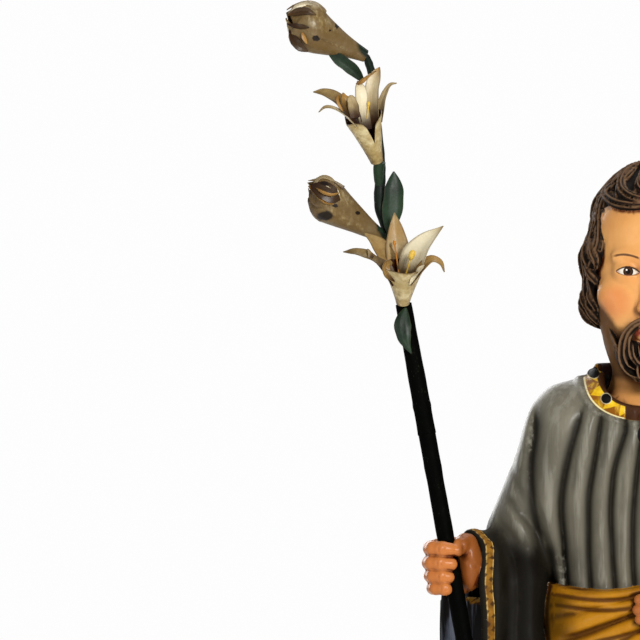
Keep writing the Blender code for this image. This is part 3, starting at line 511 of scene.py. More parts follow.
def lock(points, width, strands=3, core=(0, 14, 840), start=0.55, end=0.3, turn=0.5):
    """Rods of one lock of hair: strands side by side that taper to its tip. width is its half width."""
    c = spline(points)
    n = len(c)
    rods = []
    t = np.linspace(0, 1, n)
    swell = np.minimum(1, start + (1 - start) * np.sin(np.clip(t / 0.35, 0, 1) * math.pi / 2)) * (1 - (1 - end) * np.clip((t - 0.6) / 0.4, 0, 1) ** 1.5)
    tan = np.gradient(c, axis=0)
    tan /= np.linalg.norm(tan, axis=1)[:, None]
    out = c - np.array(core)
    out -= tan * (out * tan).sum(1)[:, None]
    out /= np.linalg.norm(out, axis=1)[:, None]
    side = np.cross(tan, out)
    STRANDS.append((c, side, width * swell, strands))
    for j in range(strands):
        u = (j - (strands - 1) / 2) / max((strands - 1) / 2, 1) if strands > 1 else 0
        w = u * 0.66 * width * swell
        bulge = (0.34 * (1 - u * u)) * width * swell + 0.5 * np.sin(t * 9 + j * 2.1)
        path = c + side * (w + 0.55 * turn * np.sin(t * 7 + j * 1.7))[:, None] + out * bulge[:, None]
        r = (0.44 if strands > 1 else 1.0) * width * swell * (1.0 - 0.08 * abs(u))
        rods += [(path[i], path[i + 1], r[i], r[i + 1]) for i in range(n - 1)]
    return rods


def hair_locks():
    rods = []
    S = scalp_x
    for s in (-1, 1):
        k = 0 if s < 0 else 1.3
        # long wavy locks from the crown over the sides and the back
        for i, a in enumerate(range(62, 181, 10)):
            amp = 8.5 if a < 170 else 4
            ph = 0.9 * i + k
            pts = []
            for z in (911, 903, 892, 879, 866, 854, 843, 832, 821, 810, 800, 792):
                bend = amp * math.sin(z / 8.6 + ph) * min(1, (915 - z) / 30)
                pull = 14 * max(0, (z - 870) / 45)
                pts.append(scalp(s * (a + bend * 0.8 + pull), z, 0.8 * math.sin(z / 5.2 + ph)))
            stop = len(pts) - (0 if a > 75 else 1) - (i % 3 == 1)
            rods += lock(pts[:stop], 6.0, 3)
        # two scalloped lobes beside the cheek
        for a, z0, z1, wide in ((56, 858, 832, 5.4), (68, 861, 828, 5.6), (60, 838, 818, 4.6), (58, 826, 797, 5.0), (70, 828, 794, 5.4), (62, 812, 787, 4.8), (78, 812, 786, 5.4)):
            m = (z0 + z1) / 2
            rods += lock([scalp(s * (a + 16), z0, 1), scalp(s * (a + 6), mix(z0, z1, 0.3), 3.2), scalp(s * (a + 1), m, 3.6),
                          scalp(s * (a - 3), mix(z0, z1, 0.75), 2.2), scalp(s * (a + 3), z1, 0.2)], wide, 3)
        # the lock at the temple, curled outward
        rods += lock([S(s * -30, 897, 1.5), S(s * -36, 889, 2.6), S(s * -38, 880, 2.2), S(s * -36.5, 871, 1.4), S(s * -38.6, 863, 1.6), S(s * -41, 857, 1.4)], 4.4, 3)
        rods += lock([S(s * -26, 893, 1.5), S(s * -33, 886, 2.4), S(s * -36, 876, 1.6), S(s * -34.8, 868, 0.6), S(s * -36.8, 861, 0.4)], 3.4, 2)
    # crown, swept forward and to each side from a short parting
    for x0, x1, x2, x3, z3 in ((-9, -26, -40, -42, 866), (-6, -22, -37, -41, 872), (9, 24, 38, 42, 868), (12, 30, 41, 43, 862)):
        rods += lock([S(x0, 912, 1), S(x1 * 0.72, 907, 2), S(x1, 899, 2.4), S(x2 * 0.95, 888, 2.2), S(x2, 879, 2), S(x3 * 0.97, z3 + 4, 1.2), S(x3 * 0.93, z3 - 4, -0.5)], 5.6, 3)
    for pts, wide in (
        ([(-4, 915, 1), (-16, 910, 2.5), (-25, 901, 3), (-29, 892, 2.4), (-25, 885, 1.5), (-14, 882.5, 1), (-2, 883, 0.5), (6, 885, 0)], 4.9),
        ([(2, 916, 1), (-8, 912, 3), (-16, 904, 3.6), (-18, 895, 3), (-12, 889, 2.5), (0, 887, 2), (12, 888, 1)], 4.6),
        ([(-10, 914, 1), (-22, 907, 2.6), (-32, 897, 2.6), (-37, 888, 2), (-35, 880, 1.4), (-29, 876, 0.4)], 4.8),
        ([(8, 915, 1), (4, 909, 3.4), (4, 901, 4.0), (9, 893, 3.4), (18, 887, 2.6), (27, 882, 1.6), (33, 875, 0.4)], 4.9),
        ([(12, 914, 1), (16, 907, 3), (20, 898, 3.4), (28, 890, 2.8), (35, 883, 2), (39, 874, 1)], 4.8),
        ([(-2, 912, 1), (-5, 903, 4.6), (-4, 896, 4.8), (4, 891, 4), (16, 891, 3), (26, 890, 2)], 4.2),
        ([(-6, 913, 0), (-13, 906, 1.0), (-20, 897, 1.0), (-21, 889, 0.6), (-12, 884, 0), (2, 884, 0)], 4.2),
        ([(10, 912, 0), (12, 904, 1.0), (15, 895, 1.0), (22, 888, 0.6), (30, 881, 0)], 4.2),
        ([(0, 915, 0), (-3, 908, 1.2), (-7, 899, 1.2), (-7, 891, 0.8), (3, 887, 0.4)], 4.2),
    ):
        rods += lock([S(*v) for v in pts], wide, 3)
    return rods


def beard_strands():
    rods = []
    for s in (-1, 1):
        # moustache, carried round the mouth into the beard
        for pts, r in (
            ([(1.2, -59.0, 796.0), (8, -59.4, 795.0), (14.5, -56.0, 791.0), (19.6, -51.6, 784.5), (22.2, -48.8, 776), (22.6, -48.0, 767), (20.4, -48.4, 758.5), (15, -51, 752.4), (8, -53.4, 750)], 2.3),
            ([(1.0, -59.2, 793.0), (7.6, -59.4, 791.9), (13.2, -56.4, 788.2), (17.2, -53.2, 782), (19.0, -51.2, 774), (18.8, -51.0, 766), (16.0, -52.0, 759.6), (10.5, -53.6, 756)], 2.1),
            ([(1.0, -58.2, 790.6), (7, -58.0, 789.6), (12, -55.4, 785.8), (15.0, -53.4, 779.6), (15.6, -52.8, 772), (14.2, -53.4, 765), (10.8, -54.8, 760.6)], 1.8),
            ([(12.6, -52.2, 776), (11.8, -54.2, 768), (8.6, -56, 762), (4, -56.6, 758.6)], 1.7),
            ([(8.6, -53.6, 774.5), (7.6, -56.0, 768), (4.6, -57.4, 762)], 1.5),
        ):
            rods += tube_rods([(s * x, y, z) for x, y, z in pts], r)
        # sides of the beard, combed down and forward
        for j in range(3, 9):
            t = j / 8
            x0, y0, z0 = 33.6 - 1.0 * t, -8 - 26 * t, 796 - 9 * t
            x1, y1, z1 = 28.0 - 4 * t, -17 - 27 * t, 779 - 5 * t
            x2, y2, z2 = 21 - 7 * t, -28 - 21 * t, 760 - 4 * t
            x3, y3, z3 = 13 - 7 * t, -36 - 15 * t, 748 - 1.5 * t
            wig = 1.4 * math.sin(2.3 * j + s)
            rods += tube_rods([(s * (x0 - 3), y0, z0), (s * (x1 + 0.2), y1 + wig, z1), (s * x2, y2 - wig, z2), (s * x3, y3, z3)], 2.2, 0.45)
    for x in (-8, -4.2, 0, 4.2, 8):
        rods += tube_rods([(x * 1.05, -52.5, 762), (x + 1.2 * math.sin(x), -54.5, 755), (x * 0.8, -50, 747.5), (x * 0.6, -43.5, 744)], 2.0, 0.5)
    return rods


def tube_rods(points, r, end=0.5):
    c = spline(points, 4)
    n = len(c)
    t = np.linspace(0, 1, n)
    rr = r * (0.75 + 0.25 * np.sin(np.clip(t / 0.3, 0, 1) * math.pi / 2)) * (1 - (1 - end) * np.clip((t - 0.7) / 0.3, 0, 1))
    tan = np.gradient(c, axis=0)
    out = c - np.array((0.0, -20.0, 0.0))
    out[:, 2] = 0
    side = np.cross(tan, out)
    STRANDS.append((c, side / np.linalg.norm(side, axis=1)[:, None], rr, 1))
    return [(c[i], c[i + 1], rr[i], rr[i + 1]) for i in range(n - 1)]


def hair_core(p):
    """What the locks lie on: hair everywhere but over the face."""
    x, y, z = p
    a = np.interp(z, HAIR_Z, HAIR_A).astype(F)
    b = np.interp(z, HAIR_Z, HAIR_B).astype(F)
    d = column(p, np.maximum(a - 2.2, 2), np.maximum(b - 2.2, 2), 2.0, 0, 12)
    d = smin(smax(smax(d, z - 911, 10), 790 - z, 6), egg(p, (0, 10, 868), (38, 52, 45)), 8)
    edge = -20 + 16 * smooth((868 - z) / 60)
    opening = smax(y - edge, z - (882 - 0.010 * x * x), 8)
    return smax(d, -opening - 1.0, 4)


def beard_core(p):
    x, y, z = p
    q = (np.abs(x), y, z)
    d = smin(egg(p, (0, -31, 770), (24.0, 24.0, 26)), egg(q, (14, -20, 775), (12.5, 21, 21)), 8)
    d = smax(d, -egg(p, (0, -60, 779.0), (9.5, 9.5, 9.5)), 4)                # bare place under the lip
    return smax(d, z - (793 - 0.30 * np.maximum(-y - 12, 0)), 6)


def whiskers(x, y, z):
    """Painted beard on the cheek in mm: above zero where the skin is brown."""
    q = np.abs(x)
    edge = 788 + 1.35 * np.clip(q - 23, 0, 20) + 0.25 * np.maximum(y + 20, 0)
    under = smooth((z - 738) / 10)
    return (edge - z) * under


# ============================================================================= hands, feet, base
STAFF_POINT = (-151.6, -26.0, 603.0)
STAFF_SLOPE = (-0.1794, 0.14)
STAFF_RADIUS = 6.6
STAFF_BOTTOM = 455.0
STAFF_STEP = 705.5
STAFF_TOP = 806.0


def staff_at(z):
    t = z - STAFF_POINT[2]
    return STAFF_POINT[0] + STAFF_SLOPE[0] * t, STAFF_POINT[1] + STAFF_SLOPE[1] * t


def on_staff(z):
    x, y = staff_at(z)
    return (x, y, z)


FINGER_Z = (618.0, 607.0, 597.0, 587.6)
FINGER_RIGHT = (-153.0, -152.0, -154.0, -155.6)
FINGER_RADIUS = (5.8, 5.4, 5.1, 4.8)
FINGER_LEFT = (-167.2, -168.5, -167.3, -165.5)


def right_hand(p):
    out = None
    for i, (z, r, left, right) in enumerate(zip(FINGER_Z, FINGER_RADIUS, FINGER_LEFT, FINGER_RIGHT)):
        sx, sy = staff_at(z)
        pts = [(sx + 6, sy + 13, z + 1), (sx - 8, sy + 14, z), (left, sy + 4, z), (left + 2, sy - 8, z + 0.3),
               (left + 8.5, sy - 12.4, z + 0.2), (right, sy - 12.0, z - 0.3)]
        d = chain(p, pts, [r + 1.5, r + 1, r, r, r, r * 0.94], 1.6)
        # creases at the joints, and the nail
        d = smax(d, -rod(p, (left + 5.6, sy - 12 - r, z + r), (left + 5.2, sy - 12 - r, z - r), 0.9), 1.4)
        d = smax(d, -rod(p, (left + 9.6, sy - 13.0 - r, z + r), (left + 9.2, sy - 13.0 - r, z - r), 1.0), 1.4)
        out = d if out is None else smin(out, d, 2.2)
    palm = smin(egg(p, (-146, -10, 604), (17, 9, 21)), egg(p, (-136.8, -20, 607), (8.2, 13, 22)), 6)
    palm = smax(palm, -chain(p, [(-144.0, -28.0, 612), (-141.0, -32.8, 610), (-138.0, -34.2, 608), (-134.5, -33.4, 605.6), (-131.6, -30.4, 604)], [1.3, 1.4, 1.5, 1.4, 1.0], 1), 2.5)
    palm = smax(palm, -rod(p, (-141.0, -36.5, 601), (-136.5, -34.5, 587), 1.2, 0.8), 2.5)
    thumb = chain(p, [(-139, -13, 620), (-141, -22, 622.2), (-144, -30, 620.6), (-147, -35.0, 617.0)], [8.4, 7.4, 6.0, 4.8], 2.0)
    thumb = smax(thumb, -rod(p, (-143.2, -37.0, 624.0), (-141.0, -36.5, 613.5), 0.9), 1.4)
    wrist = rod(p, (-96, 4, 600), (-136, -12, 603), 15, 13.5)
    return smin(smin(smin(out, palm, 2.4), thumb, 1.6), wrist, 8)


def left_hand(p):
    out = None
    for (a, b, c), r in zip((((22, -74, 587), (4, -77, 584), (-8.5, -71, 581)), ((24, -77, 577), (4, -79, 575), (-10, -72, 573.3)),
                             ((24, -77, 568), (4, -78, 567), (-8.5, -72, 566)), ((24, -74, 560), (6, -76, 559.5), (-3, -71, 559))),
                            (4.7, 4.5, 4.2, 3.9)):
        d = chain(p, [a, b, c], [r + 0.8, r + 0.2, r - 0.3], 2)
        for t in (0.30, 0.62):
            m = [mix(a[i], b[i], t) if t < 0.5 else mix(b[i], c[i], 0.35) for i in range(3)]
            d = smax(d, -rod(p, (m[0], m[1] - r - 0.9, m[2] + r), (m[0], m[1] - r - 0.9, m[2] - r), 0.9), 1.2)
        out = d if out is None else smin(out, d, 1.0)
    palm = egg(p, (30, -72, 575), (16, 9, 19))
    thumb = chain(p, [(34, -72, 590), (20, -76, 598), (8, -72, 599)], [7, 6, 5], 3)
    wrist = rod(p, (32, -72, 576), (66, -44, 590), 14, 18)
    return smin(smin(smin(out, palm, 4), thumb, 3), wrist, 8)


def feet(p):
    x, y, z = p
    q = (np.abs(x), y, z)
    d = smin(egg(q, (31, -66, 47), (18, 34, 16)), egg(q, (31, -88, 44), (17, 14, 9)), 8)
    for i in range(5):
        d = smin(d, egg(q, (20.5 + 5.6 * i, -100 + 1.5 * i * i * 0.8, 42.5), (3.6 - 0.2 * i, 7, 4.8)), 1.6)
        nail = egg(q, (20.5 + 5.6 * i, -105.0 + 1.2 * i * i, 45.6), (2.0 - 0.15 * i, 2.4, 1.6))
        d = smin(d, nail, 0.5)
    return d


def base(p):
    x, y, z = p
    bumps = 1.2 * np.sin(x / 13 + 2 * np.sin(y / 21)) * np.sin(y / 11 + 1.5 * np.sin(x / 17)) + 0.5 * np.sin(x / 4.7 + y / 6.1) * np.sin(y / 5.3)
    x, y = np.abs(x), np.abs(y)
    inset = 7 * smooth((z - 13.0) / 2) + 0.10 * np.clip(z - 13.0, 0, 40)
    w, d = 134.0 - inset, 112.0 - inset
    edge = smax(smax(x - w, y - d, 3), (x + y) * 0.7071 - (w + d) * 0.585, 3)
    edge = edge - 0.8 * np.exp(-((z - 12.2) / 1.2) ** 2) + 0.5 * np.exp(-((z - 16.5) / 1.0) ** 2)
    return smax(smax(edge, z - 38.0 - bumps, 3), -z, 1.2)


# ============================================================================= skinning the fields
EDGES = ((0, 1), (0, 2), (0, 4), (1, 3), (1, 5), (2, 3), (2, 6), (3, 7), (4, 5), (4, 6), (5, 7), (6, 7))
CORNERS = [(i & 1, (i >> 1) & 1, (i >> 2) & 1) for i in range(8)]


def split_cells():
    """Corner patterns in which the inside or the outside corners are in more than one group."""
    link = {i: [b if a == i else a for a, b in EDGES if i in (a, b)] for i in range(8)}
    bad = np.zeros(256, bool)
    for code in range(256):
        for want in (0, 1):
            group = [i for i in range(8) if ((code >> i) & 1) == want]
            if not group:
                continue
            seen, todo = {group[0]}, [group[0]]
            while todo:
                for j in link[todo.pop()]:
                    if j in group and j not in seen:
                        seen.add(j)
                        todo.append(j)
            bad[code] |= len(seen) < len(group)
    return bad


BAD = split_cells()


def sample(field, lo, hi, h, block=8):
    """The field on a grid; blocks that the surface can't reach get a plain sign."""
    lo = np.array(lo, float)
    count = [int(math.ceil((hi[i] - lo[i]) / (h * block))) for i in range(3)]
    mid = np.meshgrid(*[lo[i] + (np.arange(count[i]) + 0.5) * h * block for i in range(3)], indexing="ij")
    far = field(tuple(a.ravel().astype(F) for a in mid)).reshape(count)
    grid = np.where(far > 0, F(9), F(-9))
    for axis in range(3):
        grid = np.repeat(grid, block, axis)
    grid = np.pad(grid, ((0, 1), (0, 1), (0, 1)), mode="edge").astype(F)
    k = np.arange(block + 1)
    todo = np.argwhere(np.abs(far) < 1.7 * h * block)
    for start in range(0, len(todo), 400):
        corner = todo[start:start + 400] * block
        zero = np.zeros((len(corner),) + (block + 1,) * 3, int)
        i = (corner[:, 0, None, None, None] + k[None, :, None, None] + zero).ravel()
        j = (corner[:, 1, None, None, None] + k[None, None, :, None] + zero).ravel()
        m = (corner[:, 2, None, None, None] + k[None, None, None, :] + zero).ravel()
        grid[i, j, m] = field(((lo[0] + i * h).astype(F), (lo[1] + j * h).astype(F), (lo[2] + m * h).astype(F)))
    return grid, lo


def seal(grid, h):
    """The outermost layer stays outside, so that the surface closes."""
    for axis in range(3):
        face = [slice(None)] * 3
        for end in (0, -1):
            face[axis] = end
            grid[tuple(face)] = np.maximum(grid[tuple(face)], h)


def splat(grid, lo, h, rods, k):
    """Adds rods to a grid of distances, each only near itself."""
    n = grid.shape
    for a, b, ra, rb in rods:
        r = max(ra, rb) + 4.0
        i0 = np.maximum(np.floor((np.minimum(a, b) - r - lo) / h).astype(int), 0)
        i1 = np.minimum(np.ceil((np.maximum(a, b) + r - lo) / h).astype(int) + 1, n)
        if (i1 <= i0).any():
            continue
        ax = [(lo[i] + np.arange(i0[i], i1[i]) * h).astype(F) for i in range(3)]
        d = rod((ax[0][:, None, None], ax[1][None, :, None], ax[2][None, None, :]), a, b, ra, rb)
        part = grid[i0[0]:i1[0], i0[1]:i1[1], i0[2]:i1[2]]
        part[...] = smin(part, d, k)


def skin(grid, lo, h):
    """One closed mesh of four-sided faces around the inside of the grid."""
    grid = np.where(np.abs(grid) < 1e-4 * h, F(1e-4 * h), grid)
    inside = grid < 0
    cells = [n - 1 for n in grid.shape]
    while True:
        code = np.zeros(cells, np.uint8)
        for i, (a, b, c) in enumerate(CORNERS):
            code |= inside[a:a + cells[0], b:b + cells[1], c:c + cells[2]].astype(np.uint8) << i
        mend = np.argwhere(BAD[code])
        if not len(mend):
            break
        corner = mend[:, None, :] + np.array(CORNERS)[None]
        value = grid[corner[..., 0], corner[..., 1], corner[..., 2]]
        pick = corner[np.arange(len(mend)), np.where(value > 0, value, 1e9).argmin(1)]
        grid[tuple(pick.T)] = -0.02 * h
        inside[tuple(pick.T)] = True
    used = np.argwhere((code > 0) & (code < 255))
    index = np.full(cells, -1, np.int32)
    index[tuple(used.T)] = np.arange(len(used))
    total, times = np.zeros((len(used), 3)), np.zeros(len(used))
    for a, b in EDGES:
        ca, cb = np.array(CORNERS[a]), np.array(CORNERS[b])
        va, vb = grid[tuple((used + ca).T)], grid[tuple((used + cb).T)]
        cross = (va < 0) != (vb < 0)
        t = np.where(cross, va / np.where(cross, va - vb, 1), 0)
        total[cross] += (ca + (cb - ca) * t[:, None])[cross]
        times[cross] += 1
    points = (used + total / times[:, None]) * h + lo
    faces = []
    for axis in range(3):
        u, w = (axis + 1) % 3, (axis + 2) % 3
        first, second = [slice(None)] * 3, [slice(None)] * 3
        first[axis], second[axis] = slice(0, -1), slice(1, None)
        for q in (u, w):
            first[q] = second[q] = slice(1, -1)
        a, b = inside[tuple(first)], inside[tuple(second)]
        for flip, where in ((False, a & ~b), (True, ~a & b)):
            edge = np.argwhere(where)
            if not len(edge):
                continue
            edge[:, u] += 1
            edge[:, w] += 1
            ring = []
            for du, dw in ((0, 0), (-1, 0), (-1, -1), (0, -1)):
                c = edge.copy()
                c[:, u] += du
                c[:, w] += dw
                ring.append(index[tuple(c.T)])
            quad = np.stack(ring, 1)
            faces.append(quad[:, ::-1] if flip else quad)
    return whole_shell(points, np.concatenate(faces))


def whole_shell(points, faces):
    """The one outer shell: small closed bubbles are left out."""
    tag = np.arange(len(points))
    while True:
        low = tag[faces].min(1)
        new = tag.copy()
        np.minimum.at(new, faces.ravel(), np.repeat(low, faces.shape[1]))
        new = new[new]
        if (new == tag).all():
            break
        tag = new
    names, sizes = np.unique(tag, return_counts=True)
    keep = tag == names[np.argmax(sizes)]
    order = np.cumsum(keep) - 1
    return points[keep], order[faces[keep[faces[:, 0]]]]


def new_mesh(name, points, faces):
    """Mesh object from points in mm and an array of faces that all have as many corners."""
    mesh = bpy.data.meshes.new(name)
    n = faces.shape[1]
    mesh.vertices.add(len(points))
    mesh.vertices.foreach_set("co", (np.asarray(points) * 0.001).astype(F).ravel())
    mesh.loops.add(faces.size)
    mesh.loops.foreach_set("vertex_index", faces.astype(np.int32).ravel())
    mesh.polygons.add(len(faces))
    mesh.polygons.foreach_set("loop_start", np.arange(0, faces.size, n, dtype=np.int32))
    mesh.update(calc_edges=True)
    ob = bpy.data.objects.new(name, mesh)
    bpy.context.scene.collection.objects.link(ob)
    return ob


def settle(ob):
    """Puts what the modifiers make into the mesh itself."""
    made = bpy.data.meshes.new_from_object(ob.evaluated_get(bpy.context.evaluated_depsgraph_get()))
    old = ob.data
    ob.modifiers.clear()
    ob.data = made
    bpy.data.meshes.remove(old)
    return ob


GRIDS = []


def component(name, field, lo, hi, h, triangles, rods=(), blend=0.6, soften=1):
    """One region of the figure as a closed mesh of about so many triangles."""
    h = h * COARSE
    grid, lo = sample(field, lo, hi, h)
    if len(rods):
        splat(grid, lo, h, rods, blend)
    seal(grid, h)
    GRIDS.append((grid, lo, h))
    points, quads = skin(grid, lo, h)
    ob = new_mesh(name, points, quads)
    if soften:
        even = ob.modifiers.new("even", "SMOOTH")
        even.factor, even.iterations = 0.5, soften
    thin = ob.modifiers.new("thin", "DECIMATE")
    thin.ratio = min(1.0, triangles / (2.0 * len(quads)))
    thin.use_collapse_triangulate = True
    return settle(ob)


def unite(first, others):
    for other in others:
        join = first.modifiers.new("join", "BOOLEAN")
        join.operation, join.solver, join.object = "UNION", "MANIFOLD", other
    settle(first)
    for other in others:
        mesh = other.data
        bpy.data.objects.remove(other)
        bpy.data.meshes.remove(mesh)
    return first


def look_up(grid, lo, h, points):
    """Values of a grid at points, and a plain far value outside it."""
    f = (points - lo) / h
    i = np.floor(f).astype(int)
    ok = np.all((i >= 0) & (i < np.array(grid.shape) - 1), 1)
    out = np.full(len(points), 9.0)
    i, t = i[ok], (f - i)[ok]
    total = np.zeros(len(i))
    for a, b, c in CORNERS:
        weight = (t[:, 0] if a else 1 - t[:, 0]) * (t[:, 1] if b else 1 - t[:, 1]) * (t[:, 2] if c else 1 - t[:, 2])
        total += grid[i[:, 0] + a, i[:, 1] + b, i[:, 2] + c] * weight
    out[ok] = total
    return out


def whole(points):
    """Distance to the whole figure, from the grids of its regions."""
    out = np.full(len(points), 9.0)
    for grid, lo, h in GRIDS:
        out = np.minimum(out, look_up(grid, lo, h, points))
    return out


def mark(ob, name, values):
    attribute = ob.data.attributes.new(name, "FLOAT", "POINT")
    attribute.data.foreach_set("value", np.asarray(values, F))


# ============================================================================= the figure
def robe(p):
    """Tunic with its sleeves, and the mantle over it."""
    x, y, z = p
    d = np.minimum(tunic(p), 60)
    m = np.flatnonzero((x > -212) & (x < -20) & (y > -110) & (y < 100) & (z > 440) & (z < 712))
    if len(m):
        q = (x[m], y[m], z[m])
        solid, hollow = right_sleeve(q)[:2]
        d[m] = smax(smin(d[m], solid, 6), -smax(hollow, q[0] + 92, 3), 1.2)
        late = np.where(q[2] < 645, sleeve_fall(q), 30)
    else:
        late = None
    first = m
    m = np.flatnonzero((x > 10) & (x < 190) & (y > -150) & (y < 100) & (z > 440) & (z < 712))
    if len(m):
        q = (x[m], y[m], z[m])
        solid, hollow = left_sleeve(q)[:2]
        d[m] = smin(d[m], smax(solid, -hollow, 1.2), 4)
    m = np.flatnonzero((z > 60) & (z < 640))
    if len(m):
        q = (x[m], y[m], z[m])
        d[m] = smin(d[m], mantle(q), 0.8)
    if late is not None:
        d[first] = smin(d[first], late, 2.5)
    return d


def bored(d, p):
    """Leaves the way of the staff open."""
    sx, sy = staff_at(p[2])
    return smax(d, STAFF_RADIUS + 0.45 - np.sqrt((p[0] - sx) ** 2 + (p[1] - sy) ** 2), 0.5)


def make_figure():
    body = component("figure", lambda p: bored(robe(p), p), (-206, -140, 40), (186, 112, 768), 1.45, 86000, soften=2)
    foot = component("foot", lambda p: smin(base(p), feet(p), 1.5), (-140, -122, -6), (140, 118, 74), 2.0, 16000)

    h, lo, hi = 0.9 * COARSE, (-66, -84, 700), (66, 88, 930)
    flesh, low = sample(face, lo, hi, h)
    hair, _ = sample(lambda p: np.minimum(hair_core(p), beard_core(p)), lo, hi, h)
    splat(hair, low, h, hair_locks() + beard_strands(), 0.3)
    grid = smin(flesh, hair, 0.5)
    seal(grid, h)
    GRIDS.append((grid, low, h))
    points, quads = skin(grid, low, h)
    head = new_mesh("head", points, quads)
    even = head.modifiers.new("even", "SMOOTH")
    even.factor, even.iterations = 0.3, 1
    thin = head.modifiers.new("thin", "DECIMATE")
    thin.ratio = min(1.0, 72000 / (2.0 * len(quads)))
    thin.use_collapse_triangulate = True
    settle(head)

    right = component("right", lambda p: bored(right_hand(p), p), (-184, -60, 562), (-88, 30, 640), 0.9, 13000)
    left = component("left", left_hand, (-26, -100, 540), (90, -20, 618), 1.0, 8000)
    figure = unite(body, [foot, head, right, left])
    comb(figure, hair, low, h)
    paint_marks(figure, hair, low, h)
    return figure


def strand_height(points):
    """0 in the grooves between the strands of hair and 1 along their middle."""
    centre = np.concatenate([s[0] for s in STRANDS]).astype(F)
    side = np.concatenate([s[1] for s in STRANDS]).astype(F)
    half = np.concatenate([s[2] for s in STRANDS]).astype(F)
    count = np.concatenate([np.full(len(s[0]), s[3]) for s in STRANDS]).astype(F)
    out = np.empty(len(points))
    for i in range(0, len(points), 3000):
        v = points[i:i + 3000].astype(F)
        far = (v ** 2).sum(1)[:, None] + (centre ** 2).sum(1)[None] - 2 * v @ centre.T
        pick = (np.sqrt(np.maximum(far, 0)) / np.maximum(half, 1.2)[None]).argmin(1)
        u = ((v - centre[pick]) * side[pick]).sum(1) / half[pick]
        t = (np.clip(u, -1, 1) + 1) / 2 * count[pick]
        out[i:i + 3000] = np.clip(2 * np.abs(t - np.round(t)), 0, 1)
    return out


def comb(ob, hair, hair_lo, hair_h):
    """Cuts the grooves between the strands and keeps them for the paint."""
    mesh = ob.data
    n = len(mesh.vertices)
    co, normal = np.empty(n * 3, F), np.empty(n * 3, F)
    mesh.vertices.foreach_get("co", co)
    mesh.vertex_normals.foreach_get("vector", normal)
    co, normal = co.reshape(-1, 3) * 1000, normal.reshape(-1, 3)
    value = np.ones(n)
    on = np.flatnonzero((co[:, 2] > 738) & (np.abs(look_up(hair, hair_lo, hair_h, co.astype(float))) < 0.8))
    value[on] = strand_height(co[on])
    co[on] -= normal[on] * (0.95 * (1 - value[on]) ** 1.5)[:, None].astype(F)
    mesh.vertices.foreach_set("co", (co / 1000).ravel())
    mesh.update()
    mark(ob, "strand", value)


